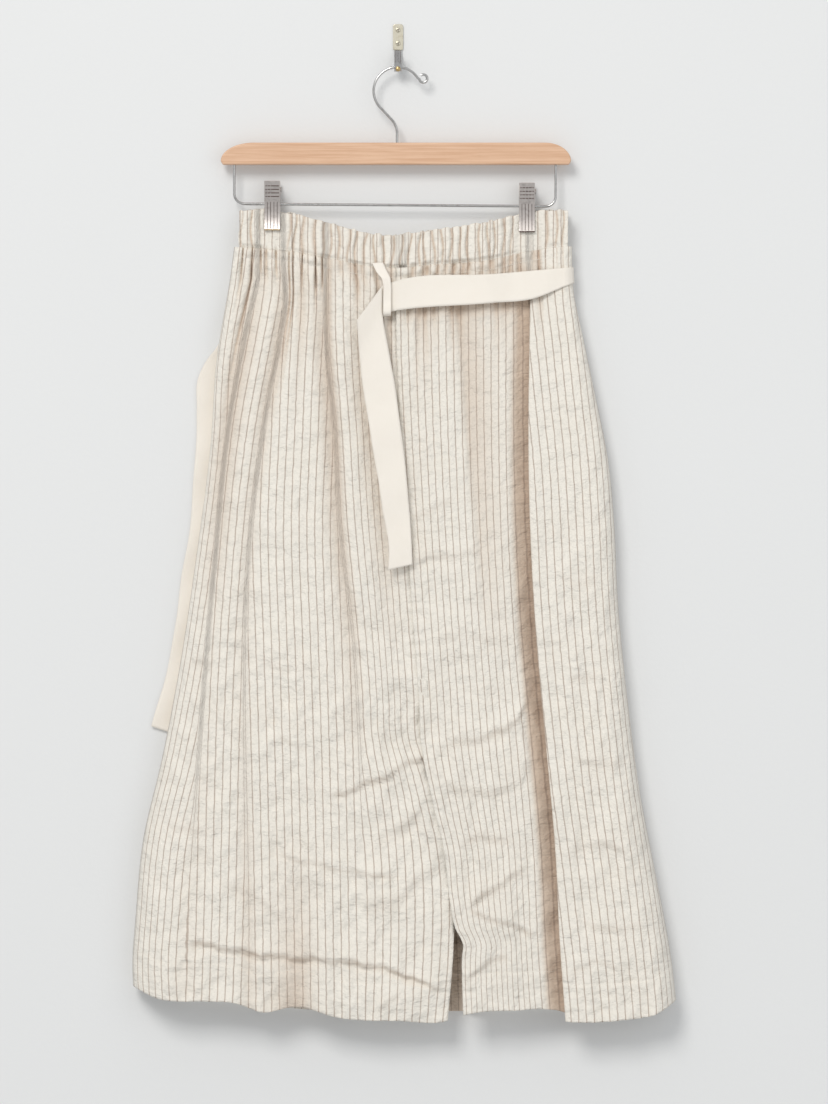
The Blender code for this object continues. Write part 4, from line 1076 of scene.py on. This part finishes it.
# %% Right tie across the front
stations = np.linspace(0.0, 1.0, 110)
side_x = float(along(RIGHT_EDGE, TIE_SEAM_DROP))
turn = float(along(RIGHT_TURN, TIE_SEAM_DROP))
flat_x = side_x - turn
x_top = -0.0164 + (flat_x + 0.0164) * stations
x_bottom = -0.0421 + (flat_x + 0.0421) * stations
top_drop, bottom_drop = along(TIE_TOP, x_top), along(TIE_BOTTOM, x_bottom)
x = x_top + (x_bottom - x_top) * ACROSS_TAPE[:, None]
drop = top_drop + (bottom_drop - top_drop) * ACROSS_TAPE[:, None]
lift = 0.003 * ACROSS_TAPE[:, None] ** 1.5 * np.sin(math.pi * stations) ** 2
y = front_y(x, drop) - BRIDGE * (0.35 + 0.65 * ease(1.0, 0.9, stations)) - lift
round_x, round_y, round_drop = [], [], []
for angle in np.radians(np.linspace(84, 4, 22)):
    off_cloth = float(ease(math.radians(10), math.radians(80), angle))
    reach = 0.0016 + 0.0006 * off_cloth
    near_x = flat_x + turn * math.cos(angle)
    edge_drops = float(along(TIE_TOP, near_x)), float(along(TIE_BOTTOM, near_x))
    turned = edge_drops[0] + (edge_drops[1] - edge_drops[0]) * ACROSS_TAPE
    row_turn = along(RIGHT_TURN, turned)
    row_flat = along(RIGHT_EDGE, turned) - row_turn
    row_depth = HANGER_Y - SEAM_RUN - front_y(row_flat, turned)
    round_x.append(row_flat + (row_turn + reach) * math.cos(angle))
    round_y.append(HANGER_Y - SEAM_RUN - (row_depth + reach) * math.sin(angle))
    round_drop.append(turned)
x = np.column_stack([x, *round_x])
y = np.column_stack([y, *round_y])
drop = np.column_stack([drop, *round_drop])
steps = np.hypot(np.diff(x[6]), np.diff(y[6]))
length = np.concatenate([[0.0], np.cumsum(steps)])
tie_across = tape("tape_right_across", x, y, drop, ACROSS_TAPE[:, None] * TIE_WIDTH, length)
print("across the front:", round(float(length[-1]), 3), "m of tape")

# %% Left tie
dense, length = smooth_rows(LEFT_TIE, 200)
outer, drop = dense[:, :1], dense[:, 1:]
curl = 0.004 * hump(drop, 0.345, 0.03)
x = outer + (TIE_WIDTH - curl) * ACROSS_TAPE + 0.0012 * np.sin(drop * 52) * ease(0.36, 0.45, drop)
drop = drop + 0.01 * ACROSS_TAPE * ease(0.6, 0.71, drop)
near_seam = 1 - ease(0.25, 0.3, drop)
y = LEFT_TIE_Y - (LEFT_TIE_Y - HANGER_Y - along(BACK_DEPTH, drop) - 0.0003) * near_seam
y = y - 0.0016 * (0.5 + 0.5 * np.sin(drop * 75 + ACROSS_TAPE * 2.5)) * ease(0.33, 0.4, drop)
tie_left = tape("tape_left", x, y, drop, ACROSS_TAPE * TIE_WIDTH, length[:, None])
print("left tie:", round(float(length[-1]), 3), "m of tape")

# %% [markdown]
# ## Wood and metal
# The bar is pale hardwood under satin lacquer, with long fine grain. The hook, the wire and the
# clips are steel, polished but handled. The wall plate is plated in a pale gold.

# %% Wood and metal finishes
def wood():
    finish = Finish("lacquered_wood", 0.42, Coat_Weight=0.25, Coat_Roughness=0.25)
    place = finish.node("ShaderNodeVectorMath", {"operation": "MULTIPLY"},
                        {0: finish.places(), 1: (14.0, 150.0, 420.0)})
    bands = finish.noise(place, 1.0, 5.0, 0.6)
    pores = finish.noise(finish.node("ShaderNodeVectorMath", {"operation": "MULTIPLY"},
                                     {0: finish.places(), 1: (90.0, 900.0, 2600.0)}), 1.0, 3.0)
    ground = mixed(bands.step(0.3, 0.72), (0.77, 0.5, 0.33), (0.64, 0.375, 0.225))
    finish.colour(mixed(pores.step(0.55, 0.8) * 0.3, ground, (0.42, 0.22, 0.11)))
    finish.rough(0.36 + bands * 0.16)
    finish.bump(bands * 0.5 + pores * 0.5, 0.0002, 0.35)
    return finish.material


def metal(name, colour, dark, roughness, scale=260.0):
    finish = Finish(name, roughness, 1.0)
    wear = finish.noise(finish.places(), scale, 4.0, 0.6)
    finish.colour(mixed(wear.step(0.45, 0.75) * 0.6, colour, dark))
    finish.rough(roughness + wear * 0.14)
    finish.bump(wear, 0.00008, 0.25)
    return finish.material


bar_wood = wood()
polished = metal("polished_steel", (0.56, 0.55, 0.54), (0.3, 0.285, 0.27), 0.14)
clip_steel = metal("clip_steel", (0.6, 0.55, 0.52), (0.34, 0.3, 0.28), 0.24)
# Painted shade: dark steel for the pressed grooves, slots, screw recesses and strap grooves, which lie in
# shade on the real steel; the right clip's lip is drawn in it too.
groove_shade_steel = metal("dark_groove", (0.13, 0.085, 0.07), (0.06, 0.04, 0.035), 0.45)
pale_brass = metal("pale_brass", (0.74, 0.69, 0.56), (0.48, 0.42, 0.3), 0.24)
gold_tip = metal("gold_tip", (0.56, 0.4, 0.19), (0.34, 0.21, 0.09), 0.24)
print("finishes:", bar_wood.name, polished.name, clip_steel.name, pale_brass.name)

# %% [markdown]
# ## The hanger's bar
# The bar is sawn from a board: straight below, and rounded down to a thin tip at each end. It is
# drawn as an outline from the front, given its thickness, and its edges are rounded with a bevel.

# %% Helpers for hard pieces
def link(name, mesh, material):
    mesh.materials.clear()
    mesh.materials.append(material)
    return place(name, mesh)


def closed_piece(name, points, faces, material, angle):
    """A closed mesh with its faces outwards, smooth except at edges sharper than an angle."""
    mesh = bpy.data.meshes.new(name)
    mesh.from_pydata(points, [], faces)
    solid = bmesh.new()
    solid.from_mesh(mesh)
    bmesh.ops.recalc_face_normals(solid, faces=solid.faces[:])
    solid.to_mesh(mesh)
    solid.free()
    obj = link(name, mesh, material)
    mesh.shade_smooth()
    mesh.set_sharp_from_angle(angle=math.radians(angle))
    return obj


def prism(name, outline, low, high, axis, material, bevel, segments, angle):
    """An outline in the plane across an axis (0 for X, 1 for Y), extruded from low to high along it."""
    count = len(outline)
    points = []
    for level_at in (low, high):
        for a, b in outline:
            points.append((level_at, a, b) if axis == 0 else (a, level_at, b))
    faces = [tuple(range(count)), tuple(range(2 * count - 1, count - 1, -1))]
    faces += [(k, k + count, (k + 1) % count + count, (k + 1) % count) for k in range(count)]
    obj = closed_piece(name, points, faces, material, angle)
    eased = obj.modifiers.new("eased_edges", "BEVEL")
    eased.width = bevel
    eased.segments = segments
    eased.limit_method = "ANGLE"
    eased.angle_limit = math.radians(angle)
    eased.harden_normals = True
    return obj


def arc(centre, radius, start, end, steps):
    angles = np.radians(np.linspace(start, end, steps + 1))
    return [(centre[0] + radius * math.cos(a), centre[1] + radius * math.sin(a)) for a in angles]


def wire(name, path, radius, material):
    """A round wire along a path in the hanger's plane."""
    curve = bpy.data.curves.new(name, "CURVE")
    curve.dimensions = "3D"
    curve.bevel_depth = radius
    curve.bevel_resolution = 4
    curve.use_fill_caps = True
    spline = curve.splines.new("POLY")
    spline.points.add(len(path) - 1)
    for point, (x, z) in zip(spline.points, path):
        point.co = (x, HANGER_Y, z, 1.0)
    curve.materials.append(material)
    return place(name, curve)


bar_low, bar_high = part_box("hanger_bar")
print("bar:", [round(1000 * (bar_high[k] - bar_low[k]), 1) for k in range(3)], "mm")

# %% Hanger bar
LEFT_SHOULDER, RIGHT_SHOULDER, TIP = 0.034, 0.027, 0.0035
rise = bar_high[2] - bar_low[2] - TIP
outline = [(bar_low[0] + 0.002, bar_low[2])]
outline += [(bar_low[0] + LEFT_SHOULDER * (1 - math.cos(a)), bar_low[2] + TIP + rise * math.sin(a))
            for a in np.linspace(0, math.pi / 2, 22)]
outline += [(bar_high[0] - RIGHT_SHOULDER * (1 - math.cos(a)), bar_low[2] + TIP + rise * math.sin(a))
            for a in np.linspace(math.pi / 2, 0, 22)]
outline += [(bar_high[0] - 0.002, bar_low[2])]
bar = prism("wooden_bar", outline, bar_low[1], bar_high[1], 1, bar_wood, bevel=0.0022, segments=4, angle=30)
print("outline places:", len(outline))

# %% [markdown]
# ## The hook and the drop wire
# Both are bent from round wire. The hook rises from the bar, slopes off, goes round in a crown and
# ends in a small eye. The drop wire leaves the bar near its ends and carries the two clips.

# %% Wires
hook_low, hook_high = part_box("hanger_hook")
IN_BAR = 0.001  # how far the wires go into the wood
HOOK_WIRE = 0.0014
CROWN_RADIUS = 0.0246
CROWN = (-0.0005, hook_high[2] - HOOK_WIRE - CROWN_RADIUS)
NECK_ANGLE, TIP_ANGLE, NECK_BEND = 223, 33, 0.008
EYE, EYE_RADIUS = (0.0259, CROWN[1] + 0.0128), 0.0041
shank_x = -0.001
crown = arc(CROWN, CROWN_RADIUS, NECK_ANGLE, TIP_ANGLE, 64)
neck = math.radians(NECK_ANGLE)
corner = np.array([shank_x, crown[0][1] - (shank_x - crown[0][0]) / math.tan(neck)])
lower = corner - np.array([0.0, NECK_BEND])
upper = corner + NECK_BEND * np.array([math.sin(neck), -math.cos(neck)])
bend = [tuple(lower * (1 - t) ** 2 + corner * 2 * t * (1 - t) + upper * t * t)
        for t in np.linspace(0, 1, 12)]
eye = arc(EYE, EYE_RADIUS, 190, 490, 30)
hook = wire("hook_wire", [(shank_x, bar_high[2] - IN_BAR)] + bend + crown + eye, HOOK_WIRE, polished)

drop_low, drop_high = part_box("drop_wire")
DROP_WIRE, DROP_CORNER = 0.0016, 0.0103
WIRE_SLANT = 0.0025  # the wire hangs this much higher on the left
WIRE_THIN = 0.86  # its real thickness, as a share of the plain model's
left_x, right_x = drop_low[0] + DROP_WIRE, drop_high[0] - DROP_WIRE
run_right = drop_low[2] + DROP_WIRE
run_left = run_right + WIRE_SLANT
path = [(left_x, bar_low[2] + IN_BAR)]
path += arc((left_x + DROP_CORNER, run_left + DROP_CORNER), DROP_CORNER, 180, 270, 16)
path += arc((right_x - DROP_CORNER, run_right + DROP_CORNER), DROP_CORNER, 270, 360, 16)
path += [(right_x, bar_low[2] + IN_BAR)]
drop = wire("hanging_wire", path, DROP_WIRE * WIRE_THIN, polished)
print("hook", round(hook_high[2] - hook_low[2], 4), "m high")

# %% [markdown]
# ## Geometry Nodes for what repeats
# Stitches, clip ribs and clip slots repeat along a line. One tree copies a small bead along every
# line of a mesh: it cuts the line at an even pitch, turns each bead along it, makes the copies
# real and gives them their material. The result is turned into a plain mesh.

# %% Beads along a line
def bead_tree(material):
    tree = bpy.data.node_groups.new(f"beads_of_{material.name}", "GeometryNodeTree")
    sockets = {}
    tree.interface.new_socket("Line", in_out="INPUT", socket_type="NodeSocketGeometry")
    for name, value in (("Pitch", 0.003), ("Length", 0.002), ("Width", 0.0005), ("Height", 0.0004),
                        ("Uneven", 0.0), ("Seed", 3.0)):
        socket = tree.interface.new_socket(name, in_out="INPUT", socket_type="NodeSocketFloat")
        socket.default_value = value
        sockets[name] = socket.identifier
    tree.interface.new_socket("Beads", in_out="OUTPUT", socket_type="NodeSocketGeometry")
    start = tree.nodes.new("NodeGroupInput")
    finish = tree.nodes.new("NodeGroupOutput")

    def add(kind, settings=(), **links):
        node = tree.nodes.new(kind)
        for name, value in dict(settings).items():
            setattr(node, name, value)
        for name, value in links.items():
            socket = node.inputs[name.replace("_", " ")]
            if isinstance(value, bpy.types.NodeSocket):
                tree.links.new(value, socket)
            else:
                socket.default_value = value
        return node

    curve = add("GeometryNodeMeshToCurve", Mesh=start.outputs["Line"])
    even = add("GeometryNodeResampleCurve", {"mode": "LENGTH"}, Curve=curve.outputs["Curve"],
               Length=start.outputs["Pitch"])
    tangent = add("GeometryNodeInputTangent")
    turned = add("FunctionNodeAlignRotationToVector", {"axis": "X"}, Vector=tangent.outputs["Tangent"])
    ball = add("GeometryNodeMeshUVSphere", Segments=6, Rings=4, Radius=0.5)
    size = add("ShaderNodeCombineXYZ", X=start.outputs["Length"], Y=start.outputs["Width"],
               Z=start.outputs["Height"])
    bead = add("GeometryNodeTransform", Geometry=ball.outputs["Mesh"], Scale=size.outputs["Vector"])
    chance = add("FunctionNodeRandomValue", {"data_type": "FLOAT"})
    chance.inputs[2].default_value = -1.0
    chance.inputs[3].default_value = 1.0
    tree.links.new(start.outputs["Seed"], chance.inputs["Seed"])
    shake = add("ShaderNodeMath", {"operation": "MULTIPLY"})
    tree.links.new(chance.outputs[1], shake.inputs[0])
    tree.links.new(start.outputs["Uneven"], shake.inputs[1])
    grown = add("ShaderNodeMath", {"operation": "ADD"})
    tree.links.new(shake.outputs[0], grown.inputs[0])
    grown.inputs[1].default_value = 1.0
    copies = add("GeometryNodeInstanceOnPoints", Points=even.outputs["Curve"],
                 Instance=bead.outputs["Geometry"], Rotation=turned.outputs["Rotation"],
                 Scale=grown.outputs[0])
    real = add("GeometryNodeRealizeInstances", Geometry=copies.outputs["Instances"])
    dressed = add("GeometryNodeSetMaterial", Geometry=real.outputs["Geometry"], Material=material)
    tree.links.new(dressed.outputs["Geometry"], finish.inputs["Beads"])
    return tree, sockets


def beads(name, lines, material, **sizes):
    """Small beads along each line of points, as one plain mesh."""
    points, edges = [], []
    for line in lines:
        edges += [(len(points) + k, len(points) + k + 1) for k in range(len(line) - 1)]
        points += [tuple(float(v) for v in point) for point in line]
    guide = bpy.data.meshes.new(name + "_line")
    guide.from_pydata(points, edges, [])
    holder = place(name + "_line", guide)
    tree, sockets = bead_tree(material)
    modifier = holder.modifiers.new("beads", "NODES")
    modifier.node_group = tree
    for size, value in sizes.items():
        modifier[sockets[size]] = value
    shown = holder.evaluated_get(bpy.context.evaluated_depsgraph_get())
    mesh = bpy.data.meshes.new_from_object(shown)
    mesh.name = name
    holder.modifiers.remove(modifier)
    bpy.data.objects.remove(holder, do_unlink=True)
    mesh.shade_smooth()
    print(name, len(mesh.polygons), "faces")
    return place(name, mesh)


print("bead tree ready")

# %% [markdown]
# ## The clips
# Each clip is two jaws of bent sheet on either side of a roll that slides on the wire. The front
# jaw is pressed with long grooves over its grip and small slots over its handle. The sheet is the
# jaw's side view, extruded across the clip; grooves and slots are beads of dark steel sunk in its
# face, as painted shade in the pressed dents.

# %% Clips
CLIP_SHEET = 0.0012
GROOVE_SPACING, PRESSED = 0.0034, 0.0001
GROOVE_ENDS = (0.0012, -0.0245)
SLOT_ROWS = [0.0075 + row * 0.0036 for row in range(4)]
SLOT_HALF, LIP_DROP = 0.0011, 0.0266
PIN_RISE, PIN_RADIUS, PIN_LENGTH = 0.015, 0.0022, 0.0022
GROOVE_BEADS = dict(Pitch=0.0009, Length=0.0022, Width=0.0009, Height=0.0006)
SLOT_BEADS = dict(Pitch=0.0011, Length=0.0018, Width=0.0009, Height=0.001)
LIP_BEADS = dict(Pitch=0.001, Length=0.0022, Width=0.001, Height=0.0012)
JAW_SIDE = ((0.0007, -0.027), (0.0, -0.0255), (0.0, 0.002), (0.0012, 0.006), (0.0042, 0.0235))


def sheet_side(path, thickness):
    """The closed outline of a bent strip of sheet, from the line down its middle."""
    path = np.array(path)
    ahead = np.gradient(path, axis=0)
    ahead /= np.linalg.norm(ahead, axis=1)[:, None]
    side = np.column_stack([-ahead[:, 1], ahead[:, 0]]) * thickness / 2
    return np.vstack([path + side, (path - side)[::-1]]).tolist()


clip_pieces = []
for side, clip_x in zip(("left", "right"), CLIPS):
    roll_low, roll_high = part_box(f"clip_{side}_roll")
    roll_z = (roll_low[2] + roll_high[2]) / 2
    width = roll_high[0] - roll_low[0]
    for name, face in (("front", -1), ("back", 1)):
        jaw_low, jaw_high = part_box(f"clip_{side}_{name}_jaw")
        grip = (jaw_high[1] - HANGER_Y if face < 0 else jaw_low[1] - HANGER_Y)
        at = HANGER_Y + grip + face * CLIP_SHEET / 2
        profile = [(at + face * away, roll_z + up) for away, up in JAW_SIDE]
        jaw = prism(f"{side}_{name}_jaw", sheet_side(profile, CLIP_SHEET), clip_x - width / 2,
                    clip_x + width / 2, 0, clip_steel, bevel=0.0003, segments=2, angle=60)
        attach(jaw, "root")
        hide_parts(f"clip_{side}_{name}_jaw")
    face_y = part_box(f"clip_{side}_front_jaw")[1][1] - CLIP_SHEET
    columns = [clip_x + (k - 1.5) * GROOVE_SPACING for k in range(4)]
    grooves = [[(x, face_y - PRESSED, roll_z + up) for up in GROOVE_ENDS] for x in columns]
    pressed = beads(f"{side}_clip_grooves", grooves, groove_shade_steel, **GROOVE_BEADS)
    slots = []
    for up in SLOT_ROWS:
        y = face_y - 0.0012 - (0.003 * (up - 0.006) / 0.0175) - PRESSED  # the handle leans forward
        slots += [[(x - SLOT_HALF, y, roll_z + up), (x + SLOT_HALF, y, roll_z + up)] for x in columns]
    small = beads(f"{side}_clip_slots", slots, groove_shade_steel, **SLOT_BEADS)
    inset = width / 2 - 0.001
    lip = beads(f"{side}_clip_lip", [[(clip_x + reach, face_y - 0.0005, roll_z - LIP_DROP)
                                     for reach in (-inset, inset)]],
                gold_tip if side == "left" else groove_shade_steel, **LIP_BEADS)
    pin_z = roll_z + PIN_RISE
    pin = wire(f"{side}_clip_pin", [(clip_x + inset, pin_z), (clip_x + inset + PIN_LENGTH, pin_z)],
               PIN_RADIUS, clip_steel)
    clip_pieces += [pressed, small, lip, pin]
print("clip pieces:", len(clip_pieces) + 4)

# %% [markdown]
# ## The wall hook
# A pale plated plate is held by two domed screws. A bright strap comes out below it, turns up in
# front of the hanger's wire and ends in a rounded tip.

# %% Plate, screws and strap
plate_low, plate_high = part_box("wall_plate")
half_w, half_h = (plate_high[0] - plate_low[0]) / 2, (plate_high[2] - plate_low[2]) / 2
ROUND = 0.0022
outline = []
for right, up, start in ((1, 1, 0), (-1, 1, 90), (-1, -1, 180), (1, -1, 270)):
    outline += arc((right * (half_w - ROUND), up * (half_h - ROUND)), ROUND, start, start + 90, 6)
plate = prism("plated_wall_plate", outline, plate_low[1], plate_high[1], 1, pale_brass, bevel=0.0006,
              segments=3, angle=40)


def turned(name, profile, centre, material, steps=32):
    """A round piece, from (radius, forward) places, turned about an axis that points forward."""
    angles = np.linspace(0, 2 * math.pi, steps, endpoint=False)
    points = [(centre[0] + r * math.cos(a), centre[1] - out, centre[2] + r * math.sin(a))
              for r, out in profile for a in angles]
    faces = []
    for k in range(len(profile) - 1):
        for j in range(steps):
            nxt = (j + 1) % steps
            faces.append((k * steps + j, k * steps + nxt, (k + 1) * steps + nxt, (k + 1) * steps + j))
    faces.append(tuple(range((len(profile) - 1) * steps, len(profile) * steps)))
    faces.append(tuple(range(steps - 1, -1, -1)))
    return closed_piece(name, points, faces, material, 50)


DOME = ((0.98, 0.0), (1.0, 0.35), (0.93, 0.7), (0.72, 0.93), (0.45, 1.0), (0.3, 0.97), (0.26, 0.6))
screws = []
for which in ("upper", "lower"):
    low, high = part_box(f"wall_screw_{which}")
    centre = ((low[0] + high[0]) / 2, high[1], (low[2] + high[2]) / 2)
    radius, tall = (high[0] - low[0]) / 2, high[1] - low[1]
    profile = [(radius * wide, tall * high_up) for wide, high_up in DOME]
    head = turned(f"screw_head_{which}", profile, centre, pale_brass)
    cross = radius * 0.62
    y = centre[1] - tall - 0.00003
    slots = [[(centre[0] + end * across, y, centre[2] + end * up) for end in (-1, 1)]
             for across, up in ((cross, 0.3 * cross), (-0.3 * cross, cross))]
    # Painted shade: the cross recess in each head is dark steel.
    recess = beads(f"screw_recess_{which}", slots, groove_shade_steel, Pitch=0.0004, Length=0.0007,
                   Width=0.0005, Height=0.0004)
    screws += [head, recess]

strap_low, strap_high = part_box("wall_strap")
STRAP_SHEET = 0.0022
wire_z = CROWN[1] + CROWN_RADIUS - 0.001
crook = HOOK_WIRE + 0.0003 + STRAP_SHEET / 2
path = [(-STRAP_SHEET / 2, plate_low[2] - 0.0003), (-STRAP_SHEET / 2, plate_low[2] - 0.0033),
        (-STRAP_SHEET / 2 - 0.0049, plate_low[2] - 0.0103)]
path += [(HANGER_Y + a, wire_z + b) for a, b in arc((0.0, 0.0), crook, -20, -160, 16)]
path += [(HANGER_Y - 0.0052, wire_z + 0.006), (HANGER_Y - 0.006, wire_z + 0.0175)]
strap = prism("bright_strap", sheet_side(path, STRAP_SHEET), strap_low[0], strap_high[0], 0, polished,
              bevel=0.0005, segments=2, angle=60)
strap_face = HANGER_Y - STRAP_SHEET / 2 - PRESSED
# Painted shade: the strap's grooves are dark steel.
ribs = [[(x, strap_face - 0.0052, wire_z + 0.006), (x, strap_face - 0.006, wire_z + 0.0165)]
        for x in (-0.0022, 0.0, 0.0022)]
strap_ribs = beads("strap_grooves", ribs, groove_shade_steel, Pitch=0.0009, Length=0.0022, Width=0.0007,
                   Height=0.0005)
TIP_DOME = ((0.0024, 0.0), (0.0027, 0.0006), (0.0025, 0.0012), (0.0016, 0.0017), (0.0006, 0.0019))
tip = turned("strap_tip", TIP_DOME, (0.0, HANGER_Y - crook - 0.0006, wire_z - 0.0012), gold_tip)
print("wall hook pieces:", len([plate, strap, strap_ribs, tip] + screws))

# %% [markdown]
# ## Stitches
# The seams are sewn in thread of the cloth's own colour, so they show as rows of small dents with
# a bead of thread in each. Every row follows the finished cloth: its line is dropped onto the mesh
# from the front before the beads are copied along it.

# %% Rows of stitches on the cloth
THREAD = Finish("sewing_thread", 0.75)
slub = THREAD.noise(THREAD.places(), 900.0, 2.0)
THREAD.colour(mixed(slub, (0.93, 0.9, 0.84), (0.84, 0.79, 0.71)))
thread = THREAD.material


def face_of(obj):
    graph = bpy.context.evaluated_depsgraph_get()
    return BVHTree.FromObject(obj, graph)


def on_cloth(tree, places, lift=0.00005, towards=1.0):
    """Drops (x, drop) places onto a cloth from the front, or from the wall with towards=-1."""
    line = []
    for x, down in places:
        start = Vector((float(x), -0.2 * towards, -float(down)))
        hit = tree.ray_cast(start, Vector((0.0, towards, 0.0)))[0]
        if hit is not None:
            line.append((hit.x, hit.y - lift * towards, hit.z))
    return line


left_face, right_face, back_face = face_of(front_left), face_of(front_right), face_of(back)
band_face = face_of(band_front)
stitch_sizes = dict(Pitch=0.0031, Length=0.0023, Width=0.00042, Height=0.00042, Uneven=0.18)
gather_sizes = dict(Pitch=0.0026, Length=0.0019, Width=0.0004, Height=0.0004, Uneven=0.2)


def beside_line(line, by, start, end, count):
    drops = np.linspace(start, end, count)
    return list(zip(along(line, drops) + by, drops))


def hem_row(start, end, count, hem=FRONT_HEM):
    across = np.linspace(start, end, count)
    return list(zip(across, along(hem, across) - HEM_WIDTH))


left_rows = [on_cloth(left_face, hem_row(-0.266, 0.052, 320))]
right_rows = [on_cloth(right_face, hem_row(0.072, 0.16, 90)), on_cloth(right_face, hem_row(0.184, 0.28, 90))]
VENT_STITCH = ((0.728, 0.0755), (0.793, 0.079), (0.834, 0.0835), (0.888, 0.089), (0.965, 0.0985))
right_rows.append(on_cloth(right_face, beside_line(VENT_STITCH, 0.0, 0.73, 0.962, 240)))
tack = np.linspace(0.03, 0.074, 50)
right_rows.append(on_cloth(right_face, zip(tack, 0.7262 - 0.03 * (tack - 0.03))))
right_rows.append(on_cloth(right_face, beside_line(OVER_EDGE, 0.003, 0.315, 0.725, 400)))
tack = np.linspace(0.008, 0.02, 14)
left_rows.append(on_cloth(left_face, zip(tack, np.full(14, 0.7255))))
stitches = [beads("front_left_stitches", left_rows, thread, **stitch_sizes),
            beads("front_right_stitches", right_rows, thread, **stitch_sizes)]
back_row = on_cloth(back_face, hem_row(-0.262, 0.276, 420, BACK_HEM), towards=-1.0)
stitches.append(beads("back_stitches", [back_row], thread, **stitch_sizes))
xs = np.linspace(BAND_LEFT + 0.006, BAND_RIGHT - 0.006, 700)
casing = [on_cloth(band_face, zip(xs, along(GATHER_LINE, xs) - 0.0012))]
stitches.append(beads("casing_stitches", casing, thread, **gather_sizes))
lower_left = xs[xs < -0.004]
lower_right = xs[xs > 0.0]
stitches.append(beads("gathering_stitches", [
    on_cloth(left_face, zip(lower_left, along(GATHER_LINE, lower_left) + ROW_STITCH)),
    on_cloth(right_face, zip(lower_right, along(GATHER_LINE, lower_right) + ROW_STITCH))],
    thread, **gather_sizes))
print("rows of stitches on the fronts:", len(left_rows) + len(right_rows))

# %% [markdown]
# ## Where every piece belongs
# Nothing on this skirt moves by itself, so every piece rides on the one body. The soft pieces stand
# for the plain cloth of the model.

# %% Riding and replacing
replaced = (
    (front_left, "front_panel_left"), (front_right, "front_panel_right"), (back, "back_panel"),
    (band_front, "waistband_front"), (band_back, "waistband_back"), (tie_across, "tie_right_across"),
    (tie_hanging, "tie_right_hanging"), (loop, "tie_loop"), (tie_left, "tie_left"), (bar, "hanger_bar"),
    (hook, "hanger_hook"), (drop, "drop_wire"), (plate, "wall_plate"), (screws[0], "wall_screw_upper"),
    (screws[2], "wall_screw_lower"), (strap, "wall_strap"))
dict.fromkeys((front_left, front_right, back, band_front, band_back), "striped_linen")
dict.fromkeys((tie_across, tie_hanging, loop, tie_left), "twill_tape")
for piece, node in replaced:
    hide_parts(node)
    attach(piece, "root")
small_pieces = clip_pieces + screws[1::2] + [strap_ribs, tip]
for piece in stitches + small_pieces:
    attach(piece, "root")
    "striped_linen" if piece in stitches else "steel"
for side in ("left", "right"):
    for old in bpy.data.objects[f"clip_{side}_roll"].material_slots:
        old.material = clip_steel

print("sheets declared:", 9)

# %% [markdown]
# ## Wall, light and camera
# The skirt hangs before a pale wall. A large soft light stands to the upper left, so folds shade to
# their right and undersides, and a broad fill from the front keeps the shadows light. The camera
# looks straight at the wall. The wall stops no light, so the back of the skirt can be looked at too.

# %% Wall
WALL_GAP = 0.0004
WALL_REACH, WALL_FOOT, WALL_TOP = 3.0, -2.4, 1.8
wall_mesh = bpy.data.meshes.new("pale_wall")
wall_corners = ((-WALL_REACH, WALL_FOOT), (WALL_REACH, WALL_FOOT), (WALL_REACH, WALL_TOP),
                (-WALL_REACH, WALL_TOP))
wall_mesh.from_pydata([(x, WALL_GAP, z) for x, z in wall_corners], [], [(0, 1, 2, 3)])
PAINT = Finish("wall_paint", 0.85)
paint = PAINT.noise(PAINT.places(), 3.0, 3.0)
PAINT.colour(mixed(paint, (0.8, 0.8, 0.795), (0.785, 0.785, 0.78)))
PAINT.bump(PAINT.noise(PAINT.places(), 220.0, 3.0), 0.0006, 0.25)
from_behind = PAINT.node("ShaderNodeNewGeometry", output=6)
PAINT.tree.links.new((1 - from_behind).socket, PAINT.shader.inputs["Alpha"])
wall = link("pale_wall", wall_mesh, PAINT.material)
wall.visible_shadow = False
wall.visible_diffuse = False
wall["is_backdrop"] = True

world = bpy.data.worlds.new("soft_room")
bpy.context.scene.world = world
world.use_nodes = True
sky = world.node_tree.nodes["Background"]
sky.inputs["Color"].default_value = (0.965, 0.985, 1.0, 1.0)
sky.inputs["Strength"].default_value = 0.61


def soft_light(name, beside_middle, size, power, colour):
    """A square soft light, aimed at the skirt's middle from a place beside it."""
    aim = Vector((0.0, 0.0, middle[2]))
    stand = Vector(beside_middle) + aim
    lamp = bpy.data.lights.new(name, "AREA")
    lamp.shape = "RECTANGLE"
    lamp.size = lamp.size_y = size
    lamp.energy = power
    lamp.color = colour
    obj = place(name, lamp)
    obj.location = stand
    obj.rotation_euler = (aim - stand).to_track_quat("-Z", "Y").to_euler()


middle = [(cad_box[0][k] + cad_box[1][k]) / 2 for k in range(3)]
soft_light("key", (-1.9, -5.2, 3.4), 2.3, 188.0, (1.0, 0.99, 0.97))
soft_light("fill", (1.6, -2.6, 0.2), 2.2, 8.0, (0.97, 0.985, 1.0))
print("wall and lights set")

# %% Camera
VIEW_MIDDLE = (0.0164, -0.5304)
VIEW_HEIGHT = 1.1327  # what the view's height takes in, in the plane of the cloth
VIEW_PLANE = -0.027
VIEW_FAR = 6.0
camera = place("camera", bpy.data.cameras.new("camera"))
camera.data.sensor_fit = "AUTO"
camera.data.sensor_width = 36.0
camera.data.lens = 36.0 * VIEW_FAR / VIEW_HEIGHT
camera.data.clip_end = 50.0
camera.location = (VIEW_MIDDLE[0], VIEW_PLANE - VIEW_FAR, VIEW_MIDDLE[1])
camera.rotation_euler = (math.pi / 2, 0.0, 0.0)
bpy.context.scene.camera = camera
bpy.context.scene.view_settings.view_transform = "Standard"
print("camera", [round(v, 3) for v in camera.location], "lens", round(camera.data.lens, 1), "mm")

# %% [markdown]
# ## Check the size
# The finished model should fill the plain one's box and hardly pass it.

# %% Size
made_box = [list(corner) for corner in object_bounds()]
grown = 1000 * (np.array(made_box) - np.array(cad_box))
print("grown by", np.round(grown, 1).tolist(), "mm")
